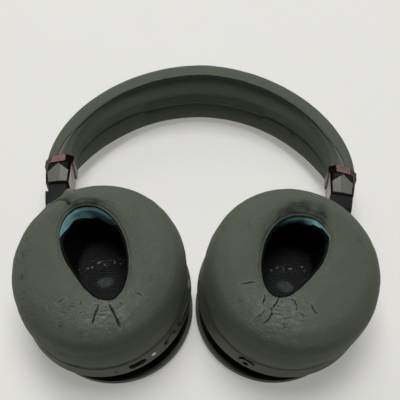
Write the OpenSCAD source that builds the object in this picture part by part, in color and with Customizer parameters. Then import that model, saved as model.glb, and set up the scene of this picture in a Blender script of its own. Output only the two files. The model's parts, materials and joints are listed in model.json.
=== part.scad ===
// Over-ear headset, lying folded flat: both cups swivelled flat with their pads up,
// and the headband standing on its lower edge behind them.
// X runs to the wearer's right, Y from the cups to the crown of the band, Z up.
// The origin is the centre of the part's footprint, on the surface it lies on.

/* [Headband] */
// Half width of the arch over its outer face, at the widest point
arch_half_w = 85.5; // [82:0.5:90]
// Depth of the arch from its widest point to the outer face of the crown
arch_depth = 66.4; // [62:0.2:72]
// Roundness of the arch: 2 is an ellipse, less is more pointed
arch_power = 1.86; // [1.8:0.02:2]
// Thickness of the padded band
band_t = 14; // [13:0.5:16]
// Width of the band at the crown
crown_w = 38; // [34:1:44]
// Width of the band at its ends
end_w = 25; // [24:0.5:28]
// Thickness of the leather cover
cover_skin = 1.5; // [1:0.1:2]
// Depth of the cover before the head cushion begins
cover_depth = 6; // [5.5:0.1:7]
// Half length of the channel in the head cushion
channel_half_l = 35; // [25:1:42]
// Half width of the channel in the head cushion
channel_half_w = 5; // [4:0.25:6]
// Depth of the channel
channel_depth = 1.3; // [0.5:0.1:2]
// Thickness of the steel strip
spring_t = 0.8; // [0.6:0.1:1]
// Width of the steel strip
spring_w = 14; // [10:1:16]
// Height of the moulded frame in the band
frame_h = 20; // [18:0.5:20.5]

/* [Band ends] */
// Where the leather ends, above the widest point of the arch
leather_end = 4.2; // [3:0.1:9]
// Slant of the leather's ends: they reach lower on the outside
end_slant = 14; // [0:0.5:16]
// Length of the polished collar along the band
collar_l = 4.1; // [3:0.1:5]
// Distance of the swivel axis inside the outer face of the arch
swivel_inset = 8; // [7.5:0.1:8.5]
// Drop of the end block below the widest point of the arch
end_drop = 12.5; // [8:0.5:14]
// Width of the end block at its lower end
block_w = 12; // [11.5:0.1:13]
// Height of the end block at its lower end
block_h = 21.5; // [21:0.1:23]
// Lean of the arms towards each other
arm_lean = 6.7; // [4:0.1:8]
// Extension of the left slider as it lies
left_out = 4.3; // [0:0.1:12]
// Extension of the right slider as it lies
right_out = 0; // [0:0.1:12]

/* [Sliders] */
// Thickness of the slider bar
bar_t = 4.6; // [4:0.1:5]
// Height of the slider bar
bar_h = 18; // [16:0.5:18]
// Length of the slider bar above its shoulder
bar_l = 29; // [26:0.5:29]
// Thickness of the slider's neck
neck_t = 8.6; // [8:0.1:9]
// Height of the slider's neck
neck_h = 19.6; // [19:0.1:19.8]
// Length of the slider's neck
neck_l = 12; // [10:0.5:13]
// Radius of the swivel shaft
shaft_r = 3.5; // [3:0.1:3.8]
// Length of the swivel shaft
shaft_l = 11; // [9:0.5:11.5]

/* [Outer discs and arms] */
// How much smaller than the housing's rim the outer disc is, in radius
disc_step = 4; // [3.8:0.1:7]
// Height of the outer disc
disc_h = 6.5; // [6:0.1:7]
// Distance of each level pad from the middle between the cups
pad_apart = 0.1; // [0.1:0.02:1]
// Distance from the slider's shoulder to the pad
end_gap = 9.5; // [9.5:0.1:13]
// Wall of the disc's cover
disc_wall = 1.8; // [1.4:0.1:2.2]
// Width of the arm
arm_w = 12; // [11:0.5:13]

/* [Gimbal] */
// Offset of the cup from the disc, away from the other cup
cup_out = 3.3; // [2:0.1:4]
// Offset of the cup from the disc, towards the band
cup_up = 4.4; // [3:0.1:5]
// Height of the gimbal axes above the disc's outer face
gimbal_z = 10.5; // [10.2:0.1:11]
// Lean of each cup away from the other one, as it lies
cup_lean = 8; // [0:0.5:8]
// Outer radius of the gimbal ring
ring_r = 17; // [16:0.5:17.5]
// Radius of the gimbal pins
pin_r = 1.2; // [1:0.05:1.3]

/* [Cups] */
// Radius of the housing at its rim
rim_r = 44.8; // [44:0.1:45.6]
// How much narrower the housing is at the pad than at its rim
rim_taper = 1.5; // [1:0.1:1.7]
// Height of the housing's rim above the surface, with the cup level
rim_z = 13.5; // [13.2:0.1:14.5]
// Height of the housing's wall
housing_h = 9.5; // [9:0.1:11]
// Wall of the housing at its rim
housing_wall = 2.2; // [2.2:0.1:2.6]
// Radius of the driver
driver_r = 20; // [18:0.5:21]

/* [Ear pads] */
// How far the pad bulges past the rim across the ear
pad_side = 0.4; // [0.2:0.1:1.6]
// How far the pad bulges past the rim along the ear
pad_end = 2.1; // [0.2:0.1:2.5]
// Thickness of the pad
pad_t = 35; // [28:0.5:37]
// Radius of the pad's outer shoulder
pad_round = 15; // [10:0.5:16]
// How far the pad's side leans in below its shoulder
pad_draw = 0.8; // [0:0.1:1.5]
// Radius of the pad's lip at the ear opening
pad_lip = 4; // [3:0.5:6.5]
// Half width of the ear opening
ear_w = 17; // [15:0.5:19]
// Half length of the ear opening
ear_l = 25.5; // [23:0.5:27]
// Tilt of the ear opening away from the other cup at its top
ear_tilt = 11.6; // [0:0.1:15]
// Thickness of the liner in the ear opening
liner_t = 1.2; // [0.8:0.1:1.6]

/* [Sockets and controls] */
// Width of the charging socket's opening
usb_w = 8.94; // [8.34:0.1:9.54]
// Height of the charging socket's opening
usb_h = 3.16; // [2.96:0.1:3.36]
// Radius of the audio socket's bore
jack_r = 1.8; // [1.75:0.05:1.9]
// Depth of the audio socket's bore
jack_l = 14; // [12:0.5:15]
// Outer radius of the audio socket's bezel
bezel_r = 4.2; // [3.8:0.1:4.2]
// Length of the power slider's knob
power_l = 6; // [5:0.5:7]
// Travel of the power slider
power_travel = 3; // [2:0.5:4]
// Length of the push button
button_l = 6; // [5:0.5:7]
// Length of the volume rocker
rocker_l = 13; // [11:0.5:14]

/* [Hidden] */
$fn = 64;

// Colours
leather = "#585c50";
plastic = "#4a4e43";
dark = "#2c2e29";
bronze = "#7d6a66";
steel = "#9a9ca0";
black = "#1b1c1d";
teal = "#487070";
board_green = "#2f5a3c";

// Small gap kept between soft or moving pieces, and the clearance of a running fit
gap = 0.3;
fit = 0.05;

// Main heights and places
mid_z = crown_w / 2;
arm_x = arch_half_w - swivel_inset;
// Radii of the cup's round pieces all follow its rim
seam_r = rim_r - rim_taper;
inner_r = rim_r - housing_wall;
disc_r = rim_r - disc_step;
pad_a = rim_r + pad_side;
pad_b = rim_r + pad_end;
// Centre of the disc, from the slider's shoulder and from the swivel axis
cup_reach = pad_b + cup_up + end_gap;
cup_inset = cup_out + (arm_x - pad_a - pad_apart - (cup_reach - cup_up) * sin(arm_lean)) / cos(arm_lean);
left = -1;
right = 1;
function rest_out(s) = s < 0 ? left_out : right_out;
// Front of the left pad, measured from the widest point of the arch
front_reach = end_drop + max(left_out, right_out) + (cup_reach - cup_up) * cos(arm_lean)
    - (cup_inset - cup_out) * sin(arm_lean) + pad_b;
arch_y = (front_reach - arch_depth) / 2;

// ---- The arch -----------------------------------------------------------------
function spow(v, p) = v < 0 ? -pow(-v, p) : pow(v, p);
function arch_point(a, half_w, depth) =
    [half_w * spow(sin(a), 2 / arch_power), depth * pow(cos(a), 2 / arch_power)];
// Point at angle a from the crown, n inside the outer face
function band_point(a, n) = let (
    p = arch_point(a, arch_half_w, arch_depth),
    q = arch_point(a, arch_half_w - band_t, arch_depth - band_t))
    p + (q - p) * n / band_t;
// Angle at which the outer face is y above the widest point
function arch_angle(y) = acos(pow(y / arch_depth, arch_power / 2));
end_angle = arch_angle(leather_end - 2);
// Width of the band at angle a
function band_w(a) = end_w + (crown_w - end_w) * pow(cos(a * 90 / end_angle), 1.2);
function steps(lo, hi, n) = [for (i = [0 : n]) lo + (hi - lo) * i / n];

// Solid swept along the band. Each section is a ring of [n, z] pairs, the first half of
// which faces the second half point for point, so strips of triangles close its ends.
module band_sweep(sections, angles) {
    m = len(sections[0]);
    k = len(angles);
    points = [for (i = [0 : k - 1]) for (p = sections[i])
        let (b = band_point(angles[i], p[0])) [b[0], b[1], p[1]]];
    walls = [for (i = [0 : k - 2]) for (j = [0 : m - 1])
        let (a = i * m + j, b = i * m + (j + 1) % m)
        each [[a, b + m, b], [a, a + m, b + m]]];
    e = (k - 1) * m;
    ends = [for (j = [0 : m / 2 - 2])
        each [[j, j + 1, m - 2 - j], [j, m - 2 - j, m - 1 - j],
            [e + j, e + m - 2 - j, e + j + 1], [e + j, e + m - 1 - j, e + m - 2 - j]]];
    translate([0, arch_y, mid_z]) polyhedron(points, concat(walls, ends), convexity = 8);
}

// Prism between two depths of the band, from angle a0 to a1, h high
module band_strip(n0, n1, a0, a1, h, count = 48) {
    angles = steps(a0, a1, count);
    outline = concat([for (a = angles) band_point(a, n0)],
        [for (i = [count : -1 : 0]) band_point(angles[i], n1)]);
    translate([0, arch_y, mid_z - h / 2]) linear_extrude(h) polygon(outline);
}

// ---- Frames -------------------------------------------------------------------
module on_side(s) mirror([s < 0 ? 1 : 0, 0, 0]) children();
// Swivel axis where the end block ends, with nothing extended
module at_end(s) on_side(s) translate([arm_x, arch_y - end_drop, mid_z]) children();
// The same point on the slider as it lies
module at_slider(s) at_end(s) translate([0, -rest_out(s), 0]) children();
// Swivel axis along Y: the arm runs towards -Y
module at_arm(s) at_slider(s) rotate([0, 0, -arm_lean]) children();
// Centre of the outer disc, on the surface
module at_disc(s) at_arm(s) translate([-cup_inset, -cup_reach, -mid_z]) children();
module at_gimbal(s) at_disc(s) translate([cup_out, cup_up, gimbal_z]) children();
// Cup frame: the cup stands level on the surface before it leans
module at_cup(s) at_gimbal(s) rotate([0, cup_lean, 0]) translate([0, 0, -gimbal_z]) children();
// A place on the cup's wall: X points outwards, Y runs along the wall
module on_wall(angle, z, r = 0) rotate([0, 0, angle]) translate([r, 0, z]) children();

module box(lo, hi) translate(lo) cube(hi - lo);
module rod_x(r, x0, x1) translate([x0, 0, 0]) rotate([0, 90, 0]) cylinder(r = r, h = x1 - x0);
module rod_y(r, y0, y1) translate([0, y0, 0]) rotate([-90, 0, 0]) cylinder(r = r, h = y1 - y0);
module tube(ro, ri, z0, z1) translate([0, 0, z0]) difference() {
    cylinder(r = ro, h = z1 - z0);
    translate([0, 0, -1]) cylinder(r = ri, h = z1 - z0 + 2);
}
// Slot with round ends, along Y, cut in the X direction
module slot_x(l, h, x0, x1) {
    box([x0, -(l - h) / 2, -h / 2], [x1, (l - h) / 2, h / 2]);
    for (e = [-1, 1]) translate([0, e * (l - h) / 2, 0]) rod_x(h / 2, x0, x1);
}

// ---- Headband -----------------------------------------------------------------
cover_angles = steps(-end_angle, end_angle, 34);
cushion_angles = steps(-end_angle, end_angle, 58);

// C-shaped leather section: half of the outer face, then half of the inside of the skin
function cover_outer(w) = [[cover_depth, w / 2 - 0.7], [4.4, w / 2], [2.4, w / 2 - 0.2],
    [0.9, w / 2 - 1.7], [0.25, w / 2 - 4], [0, w / 4]];
function cover_inner(w) = [[cover_depth, w / 2 - 0.7 - cover_skin], [4.4, w / 2 - cover_skin - 0.1],
    [cover_skin + 1.3, w / 2 - cover_skin - 0.4], [cover_skin + 0.5, w / 2 - cover_skin - 1.4],
    [cover_skin + 0.2, w / 2 - cover_skin - 3], [cover_skin, w / 4]];
function low(half) = [for (i = [len(half) - 1 : -1 : 0]) [half[i][0], -half[i][1]]];
function high(half) = [for (i = [len(half) - 1 : -1 : 0]) half[i]];
function cover_section(w) = concat(cover_outer(w), low(cover_outer(w)),
    [for (p = cover_inner(w)) [p[0], -p[1]]], high(cover_inner(w)));

// Head cushion section, with the channel g deep at its middle
function cushion_half(w, g) = [[cover_depth + 0.1, w / 2 - 1], [8, w / 2 - 0.1],
    [10.5, w / 2 - 0.3], [12.4, w / 2 - 1.9], [13.5, w / 2 - 4.5], [13.9, w * 0.27],
    [band_t + 0.1, channel_half_w + 1], [band_t - g, channel_half_w - 0.3]];
function cushion_section(w, g) = concat(cushion_half(w, g), low(cushion_half(w, g)));
// The channel has its full depth along its length and fades out at its two ends
function channel_at(a) = let (x = abs(band_point(a, band_t)[0]))
    channel_depth * min(1, max(-0.1, (channel_half_l - x) / 3));

module bar_pocket(s) at_end(s)
    box([bar_x - 1.2, -1, -bar_h / 2 - 1.2], [bar_x + bar_t + 1.2, bar_top + 1, bar_h / 2 + 1.2]);
// Height in the band's end frame that a slanted cut at y has at x
function slanted(x, y) = y - x * tan(end_slant);
// Everything between two slanted cuts
module slant_slab(y0, y1) translate([0, 0, -30]) linear_extrude(60) polygon([
    [-30, slanted(-30, y0)], [30, slanted(30, y0)], [30, slanted(30, y1)], [-30, slanted(-30, y1)]]);
module below_leather() for (s = [left, right]) at_end(s) slant_slab(-60, end_drop + leather_end);

module band_cover() color(leather) difference() {
    band_sweep([for (a = cover_angles) cover_section(band_w(a))], cover_angles);
    below_leather();
}

module band_cushion() color(leather) difference() {
    band_sweep([for (a = cushion_angles) cushion_section(band_w(a), channel_at(a))], cushion_angles);
    below_leather();
    for (s = [left, right]) bar_pocket(s);
}

// Bar and track: the bar runs straight along Y inside the end of the band
bar_x = -4.5;
bar_top = bar_l;
frame_end = arch_angle(bar_l - end_drop + 2.6);
frame_n = [2.2, 5.6];
spring_n = 3.4;

module band_frame() color(dark) difference() {
    band_strip(frame_n[0], frame_n[1], -frame_end, frame_end, frame_h);
    band_strip(spring_n - 0.1, spring_n + spring_t + 0.1, -frame_end - 2, frame_end + 2, spring_w + 0.2);
    translate([0, 0, frame_h / 2 - 0.9])
        band_strip(spring_n - 0.2, spring_n + 1.3, -frame_end - 2, frame_end + 2, 2);
}

module band_spring() color(steel)
    band_strip(spring_n, spring_n + spring_t, -frame_end + 1, frame_end - 1, spring_w);

module band_cable() color(black) translate([0, 0, frame_h / 2 - 0.9])
    band_strip(spring_n, spring_n + 1, -frame_end + 1, frame_end - 1, 1.6);

collar_top = end_drop + leather_end;
track_y = slanted(bar_x - 0.9, collar_top) + 0.1;
track_l = 9.4;
module slider_track(s) color(dark) at_end(s) difference() {
    box([bar_x - 0.9, track_y, -bar_h / 2 - 0.9], [bar_x + bar_t + 0.9, track_y + track_l, bar_h / 2 + 0.9]);
    box([bar_x - 0.1, track_y - 1, -bar_h / 2 - 0.1], [bar_x + bar_t + 0.1, track_y + track_l + 1, bar_h / 2 + 0.1]);
}

// A leaf spring lies on the outer wall of each track and holds the slider by friction
module detent_springs() color(steel) for (s = [left, right]) at_end(s)
    box([bar_x + bar_t + 0.9, track_y + 1, -3], [bar_x + bar_t + 1.3, track_y + track_l - 1, 3]);

// ---- Collars and end blocks ---------------------------------------------------
collar_y = collar_top - collar_l;
// Rounded bar profile in X and Z: chamfered corners keep it exact
module chamfered(x0, x1, h, c) polygon([[x0 + c, -h / 2], [x1 - c, -h / 2], [x1, -h / 2 + c],
    [x1, h / 2 - c], [x1 - c, h / 2], [x0 + c, h / 2], [x0, h / 2 - c], [x0, -h / 2 + c]]);
module bar_y(y0, y1) translate([0, y1, 0]) rotate([90, 0, 0]) linear_extrude(y1 - y0) children();
leather_out = band_point(arch_angle(leather_end), 0)[0] - arm_x;
leather_in = band_point(arch_angle(leather_end), band_t)[0] - arm_x;

module slider_hole(y0, y1, grow) {
    box([bar_x - grow, y0, -neck_h / 2 - grow], [bar_x + neck_t + grow, y1, neck_h / 2 + grow]);
}

module collar(s) color(bronze) at_end(s) difference() {
    intersection() {
        bar_y(-10, 40) chamfered(leather_in - 0.7, leather_out + 0.7, end_w + 1.4, 4);
        slant_slab(collar_y, collar_top);
    }
    slider_hole(-10, 40, 0.2);
}

// The block narrows from the collar to the swivel, and its lower face leans with the arm
module end_block(s) color(bronze) at_end(s) difference() {
    intersection() {
        translate([0, 0, -15]) linear_extrude(30) polygon([[-block_w / 2, -2], [block_w / 2, -2],
            [leather_out, slanted(leather_out, collar_y)], [leather_in, slanted(leather_in, collar_y)]]);
        rotate([0, 0, 90]) rotate([90, 0, 0]) translate([0, 0, -15]) linear_extrude(30)
            polygon([[-2, -block_h / 2], [collar_y, -end_w / 2], [20, -end_w / 2], [20, end_w / 2],
                [collar_y, end_w / 2], [-2, block_h / 2]]);
        bar_y(-3, 20) chamfered(leather_in - 3, leather_out + 3, end_w, 5);
    }
    rotate([0, 0, -arm_lean]) box([-20, -10, -20], [20, gap, 20]);
    slider_hole(-3, 20, 0.2);
}

// Olive plates on the upper and lower faces, pointed towards the collar, with a low ridge
cheek_t = 0.9;
module cheek() intersection() {
    linear_extrude(5) polygon([[-block_w / 2 + 1, 1.6], [block_w / 2 - 1, 0.4], [block_w / 2, collar_y * 0.5],
        [0.6, collar_y - 0.9], [-block_w / 2 + 0.8, collar_y * 0.62]]);
    translate([-0.8, 0, -0.01]) bar_y(-1, collar_y)
        polygon([[-8, 0.01], [8, 0.01], [8, 0.1], [0, cheek_t], [-8, 0.1]]);
}
cheek_slope = atan((end_w - block_h) / 2 / (collar_y + 2));
module block_cheeks(s) color(plastic) at_end(s) for (e = [-1, 1]) mirror([0, 0, e < 0 ? 1 : 0])
    translate([0, -2, block_h / 2]) rotate([cheek_slope, 0, 0]) translate([0, 2, 0.01]) cheek();

// ---- Sliders ------------------------------------------------------------------
clip_y = -8.9;
module slider(s) color(plastic) {
    at_slider(s) difference() {
        union() {
            box([bar_x, 0, -bar_h / 2], [bar_x + bar_t, bar_l, bar_h / 2]);
            box([bar_x, -2, -neck_h / 2], [bar_x + neck_t, neck_l, neck_h / 2]);
        }
        rotate([0, 0, -arm_lean]) box([-20, -10, -20], [20, 0, 20]);
    }
    at_arm(s) difference() {
        rod_y(shaft_r, -shaft_l + 0.5, 0.4);
        difference() {
            rod_y(shaft_r + 1, clip_y - 0.5, clip_y + 0.5);
            rod_y(shaft_r - 0.8, clip_y - 1, clip_y + 1);
        }
    }
}

module swivel_clip(s) color(steel) at_arm(s) difference() {
    rod_y(shaft_r + 1.3, clip_y - 0.4, clip_y + 0.4);
    rod_y(shaft_r - 0.75, clip_y - 1, clip_y + 1);
    box([-1.6, clip_y - 1, -10], [1.6, clip_y + 1, 0]);
}

// ---- Arms and outer discs -----------------------------------------------------
carrier_z = 3.6;
carrier_r = disc_r - disc_wall - 0.2;
tongue_top = disc_h - 0.1;
tongue_low = 0.6;
lug_in = ring_r + 1;
lug_out = ring_r + 3.6;
screw_spots = [30, 150, 270];
disc_screw_r = disc_r - 10.4;
screw_r = 0.8;
head_r = 1.7;

// Side view of the arm: the swivel barrel at the top, the tongue that runs under the cup
module arm_side() polygon([[-gap, block_h / 2], [-7, block_h / 2 - 0.5], [-11.5, block_h / 2 - 5],
    [-14.4, -5.5], [-16.6, tongue_top - mid_z], [-50, tongue_top - mid_z], [-50, carrier_z - mid_z],
    [-36, tongue_low - mid_z], [-16, tongue_low - mid_z], [-8, -block_h / 2 - 2], [-gap, -block_h / 2]]);
module arm_plan() polygon([[-arm_w / 2, 0], [arm_w / 2, 0], [arm_w / 2, -20], [arm_w / 2 - 3, -34],
    [-10, -48], [-24, -40], [-arm_w / 2 - 3, -26], [-arm_w / 2, -14]]);

module arm_stem() intersection() {
    rotate([0, 0, 90]) rotate([90, 0, 0]) translate([0, 0, -40]) linear_extrude(80) arm_side();
    translate([0, 0, -30]) linear_extrude(60) arm_plan();
}

module at_hub(s) at_disc(s) translate([cup_out, cup_up, 0]) children();

module arm(s) color(plastic) difference() {
    union() {
        at_arm(s) arm_stem();
        at_disc(s) translate([0, 0, carrier_z]) cylinder(r = carrier_r, h = disc_h - carrier_z);
        at_hub(s) for (e = [-1, 1]) box([-2.6, e > 0 ? lug_in : -lug_out, disc_h - 1],
            [2.6, e > 0 ? lug_out : -lug_in, gimbal_z + pin_r + 0.7]);
    }
    at_arm(s) {
        rod_y(shaft_r + fit, -shaft_l + 0.2, 1);
        rod_y(shaft_r + 1.7, clip_y - 1.4, clip_y + 0.8);
        box([-shaft_r - 1.7, clip_y - 1.4, -20], [shaft_r + 1.7, clip_y + 0.8, 0]);
    }
    at_hub(s) {
        translate([0, 0, -1]) cylinder(r = lug_in - 0.4, h = disc_h + 2);
        for (e = [-1, 1]) box([e > 0 ? lug_in - 2 : -lug_out - 1.5, -3.6, -1],
            [e > 0 ? lug_out + 1.5 : -lug_in + 2, 3.6, disc_h + 1]);
    }
    at_gimbal(s) rod_y(pin_r + fit, -lug_out - 1, lug_out + 1);
    at_disc(s) translate([0, 0, -1]) cylinder(r = disc_r - disc_wall, h = disc_wall + 1.1);
    at_disc(s) for (a = screw_spots) rotate([0, 0, a]) translate([disc_screw_r, 0, 0]) {
        cylinder(r = screw_r + 0.1, h = 10);
        translate([0, 0, disc_h - 1.3]) cylinder(r = head_r + 0.1, h = 3);
    }
}

// The disc's cover is a shallow dish with a rounded outer edge, cut where the arm enters
disc_round = 3;
module outer_disc(s) color(dark) difference() {
    at_disc(s) {
        rotate_extrude() difference() {
            union() {
                square([disc_r - disc_round, disc_h]);
                translate([disc_r - disc_round, disc_round]) circle(r = disc_round);
                translate([0, disc_round]) square([disc_r, disc_h - disc_round]);
            }
            translate([-1, disc_wall]) square([disc_r - disc_wall + 1, disc_h]);
            translate([-50, -10]) square([50, 40]);
        }
        for (a = screw_spots) rotate([0, 0, a]) translate([disc_screw_r, 0, disc_wall - 0.2])
            tube(2.4, screw_r + fit, 0, carrier_z - disc_wall + 0.15);
    }
    at_arm(s) translate([0, 0, -30]) linear_extrude(60) offset(delta = 0.2) arm_plan_edge();
}
// Only the stretch of the arm that crosses the disc's wall
module arm_plan_edge() intersection() {
    arm_plan();
    translate([-cup_inset, -cup_reach]) difference() {
        circle(r = disc_r + 10);
        circle(r = carrier_r - 0.3);
    }
}

module disc_screws(s) color(steel) at_disc(s) for (a = screw_spots) rotate([0, 0, a])
    translate([disc_screw_r, 0, 0]) {
        translate([0, 0, disc_wall + 0.1]) cylinder(r = screw_r, h = disc_h - disc_wall - 1.2);
        translate([0, 0, disc_h - 1.3]) cylinder(r = head_r, h = 1.1);
    }

// ---- Gimbal -------------------------------------------------------------------
module gimbal_ring(s) color(dark) at_cup(s) translate([0, 0, gimbal_z]) difference() {
    tube(ring_r, ring_r - 4, -2.2, 2.2);
    rod_y(pin_r, -ring_r - 1, ring_r + 1);
    rod_x(pin_r, -ring_r - 1, ring_r + 1);
}

module gimbal_pins(s) color(steel) at_cup(s) translate([0, 0, gimbal_z]) for (e = [-1, 1]) {
    rod_y(pin_r, e > 0 ? ring_r - 4 : -lug_out + 0.3, e > 0 ? lug_out - 0.3 : -ring_r + 4);
    rod_x(pin_r, e > 0 ? ring_r - 4 : -lug_out + 0.3, e > 0 ? lug_out - 0.3 : -ring_r + 4);
}

// ---- Cup: hard parts ----------------------------------------------------------
seam_z = rim_z + housing_h;
baffle_z = seam_z - 2.4;
baffle_t = 1.5;
ledge_z = rim_z + 1.8;
cover_low = rim_z - 1.9;
recess_r = 24;
recess_z = gimbal_z + 5.5;
cup_spots = [45, 135, 225, 315];
cup_screw_r = (recess_r + inner_r) / 2 - 0.6;

// Back of the cup: a shallow cone under the rim, with a recess that holds the gimbal
module back_cover(s) color(dark) at_cup(s) difference() {
    union() {
        rotate_extrude() polygon([[0, recess_z], [recess_r, recess_z], [recess_r, cover_low],
            [recess_r + 1.4, cover_low], [inner_r - 0.1, rim_z + 0.1], [inner_r - 0.1, ledge_z - 0.1],
            [recess_r + 1.4, cover_low + 1.7], [recess_r + 1.4, recess_z + 1.2], [0, recess_z + 1.2]]);
        for (a = cup_spots) rotate([0, 0, a]) translate([cup_screw_r, 0, cover_low + 0.5])
            cylinder(r = 3, h = ledge_z - cover_low - 0.5);
        for (e = [-1, 1]) box([e > 0 ? lug_in : -lug_out, -2.6, gimbal_z - pin_r - 0.7],
            [e > 0 ? lug_out : -lug_in, 2.6, recess_z + 0.5]);
    }
    translate([0, 0, gimbal_z]) rod_x(pin_r + fit, -lug_out - 1, lug_out + 1);
    for (a = cup_spots) rotate([0, 0, a]) translate([cup_screw_r, 0, 0]) {
        cylinder(r = screw_r + 0.15, h = 30);
        cylinder(r = head_r + 0.2, h = cover_low + 1.6);
    }
}

// Places on the left wall, seen from the cup's own frame
usb_at = [-110.6, seam_z - 4.6];
mic_at = [-95.6, seam_z - 5];
ring_at = [-122.8, seam_z - 4.6];
power_at = [-138, seam_z - 4.6];
rocker_at = [-156.5, seam_z - 4.6];
button_at = [-177.6, seam_z - 4.6];
jack_at = [-108.1, seam_z - 4.4];
barrel_r = 3;
// Outer radius of the wall at a height
function wall_r(z) = rim_r + (seam_r - rim_r) * max(0, z - rim_z - 2) / (housing_h - 2);
// The audio socket's bezel is let into the wall and stands a little proud of it
jack_face = wall_r(jack_at[1]) + 0.7;
bezel_seat = wall_r(jack_at[1]) - 1.1;

module housing_body() rotate_extrude() polygon([[inner_r, rim_z], [rim_r - 0.8, rim_z],
    [rim_r, rim_z + 0.8], [rim_r, rim_z + 2], [seam_r, seam_z], [inner_r, seam_z], [inner_r, baffle_z - 1.1],
    [inner_r - 2, baffle_z - 1.1], [inner_r - 2, ledge_z], [inner_r, ledge_z]]);

module housing(s) color(plastic) at_cup(s) difference() {
    housing_body();
    if (s < 0) {
        on_wall(usb_at[0], usb_at[1]) slot_x(usb_w + 0.6, usb_h + 0.6, inner_r - 4, rim_r + 2);
        on_wall(mic_at[0], mic_at[1]) rod_x(0.6, inner_r - 4, rim_r + 2);
        on_wall(ring_at[0], ring_at[1]) rod_x(1.35, inner_r - 4, rim_r + 2);
        on_wall(power_at[0], power_at[1])
            slot_x(power_l + power_travel + 0.4, 3, inner_r - 4, rim_r + 2);
        on_wall(rocker_at[0], rocker_at[1]) slot_x(rocker_l + 0.4, 3.2, inner_r - 4, rim_r + 2);
        on_wall(button_at[0], button_at[1]) slot_x(button_l + 0.2, 3.2, inner_r - 4, rim_r + 2);
    } else {
        on_wall(jack_at[0], jack_at[1]) {
            rod_x(barrel_r + fit, inner_r - 4, rim_r + 2);
            rod_x(bezel_r + fit, bezel_seat - fit, rim_r + 2);
        }
    }
}

module baffle(s) color(black) at_cup(s) difference() {
    union() {
        translate([0, 0, baffle_z]) cylinder(r = inner_r - 0.1, h = baffle_t);
        for (a = cup_spots) rotate([0, 0, a]) translate([cup_screw_r, 0, ledge_z + 0.1])
            cylinder(r = 2.2, h = baffle_z - ledge_z);
    }
    translate([0, 1.4, 0]) cylinder(r = driver_r - 1.4, h = 40);
    for (a = cup_spots) rotate([0, 0, a]) translate([cup_screw_r, 0, 0])
        cylinder(r = screw_r + fit, h = baffle_z + 0.3);
    for (a = [0, 90, 180, 270]) rotate([0, 0, a]) translate([driver_r + 7, 0, 0]) cylinder(r = 1.5, h = 40);
    if (s > 0) on_wall(jack_at[0], jack_at[1]) box([24, -4, -4], [50, 4, 8]);
}

module cup_screws(s) color(steel) at_cup(s) for (a = cup_spots) rotate([0, 0, a])
    translate([cup_screw_r, 0, 0]) {
        translate([0, 0, cover_low + 0.6]) cylinder(r = head_r, h = 1);
        translate([0, 0, cover_low + 1]) cylinder(r = screw_r, h = baffle_z - cover_low - 1);
    }

// ---- Driver -------------------------------------------------------------------
driver_z = baffle_z + baffle_t;
flange_t = seam_z - driver_z;
magnet_z = recess_z + 1.5;
module at_driver(s) at_cup(s) translate([0, 1.4, 0]) children();

module driver_basket(s) color(black) at_driver(s) difference() {
    union() {
        translate([0, 0, driver_z]) cylinder(r = driver_r + 1, h = flange_t);
        translate([0, 0, magnet_z + 2]) cylinder(r = driver_r - 1.6, h = driver_z - magnet_z - 2);
    }
    translate([0, 0, magnet_z + 3]) cylinder(r = driver_r - 2.6, h = 20);
    cylinder(r = 10.1, h = 40);
    for (a = [0 : 60 : 300]) rotate([0, 0, a]) translate([14, 0, 0]) cylinder(r = 1.6, h = 40);
}

module driver_magnet(s) color(steel) at_driver(s) difference() {
    translate([0, 0, magnet_z]) cylinder(r = 10, h = 3.3);
    translate([0, 0, magnet_z + 1.4]) tube(8.4, 7.2, 0, 4);
}

// Cone, roll and centre dome as one thin turned shell
module diaphragm(s) color("#3b3f3c") at_driver(s) rotate_extrude() polygon([[0, driver_z + 1.6],
    [3, driver_z + 1.3], [5.5, driver_z + 0.2], [7.4, driver_z - 0.6], [12, driver_z + 0.4],
    [15, driver_z + 0.9], [driver_r - 2.7, driver_z + 0.3], [driver_r - 2.7, driver_z + 0.1],
    [15, driver_z + 0.6], [12, driver_z + 0.1], [7.7, driver_z - 0.9], [7.7, driver_z - 2],
    [7.4, driver_z - 2], [7.4, driver_z - 0.9], [5.5, driver_z - 0.1], [3, driver_z + 1],
    [0, driver_z + 1.3]]);

// ---- Ear pad and what lines it ------------------------------------------------
ear_at = [-2.8, 5.6];
ear_egg = 0.1;
// Egg-shaped outline of the ear opening, grown outwards by g
function ear_point(f, g) = let (
    x = (ear_w + g) * cos(f) * (1 + ear_egg * sin(f)),
    y = (ear_l + g) * sin(f))
    ear_at + [x * cos(ear_tilt) + y * sin(ear_tilt), -x * sin(ear_tilt) + y * cos(ear_tilt)];
function pad_edge(f) = [pad_a * cos(f), pad_b * sin(f)];
pad_count = 56;
pad_base = seam_z + 0.1;
seam_in = pad_a - seam_r;
// Pad profile as [distance in from the edge, height] for a ring l wide:
// the drawn-in seam, the bulging side, the shoulder, the crown, the lip and the inner wall
function pad_profile(l) = let (
    r = min(pad_round, (l - pad_lip - pad_draw) * 0.85),
    top = pad_draw + r,
    span = l - top - pad_lip)
    concat(
    [[seam_in, 0], [seam_in * 0.4, 3.4], [0.1, 8], [pad_draw * 0.4, pad_t - pad_round - 4]],
    [for (t = [0 : 18 : 90]) [pad_draw + r * (1 - cos(t)), pad_t - pad_round + pad_round * sin(t)]],
    [[top + span * 0.35, pad_t + 0.2], [top + span * 0.75, pad_t - 0.3]],
    [for (t = [0 : 22.5 : 90]) [l - pad_lip + pad_lip * sin(t), pad_t - 0.8 - pad_lip + pad_lip * cos(t)]],
    [[l - 0.2, 14], [l - 1, 0]]);

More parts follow.
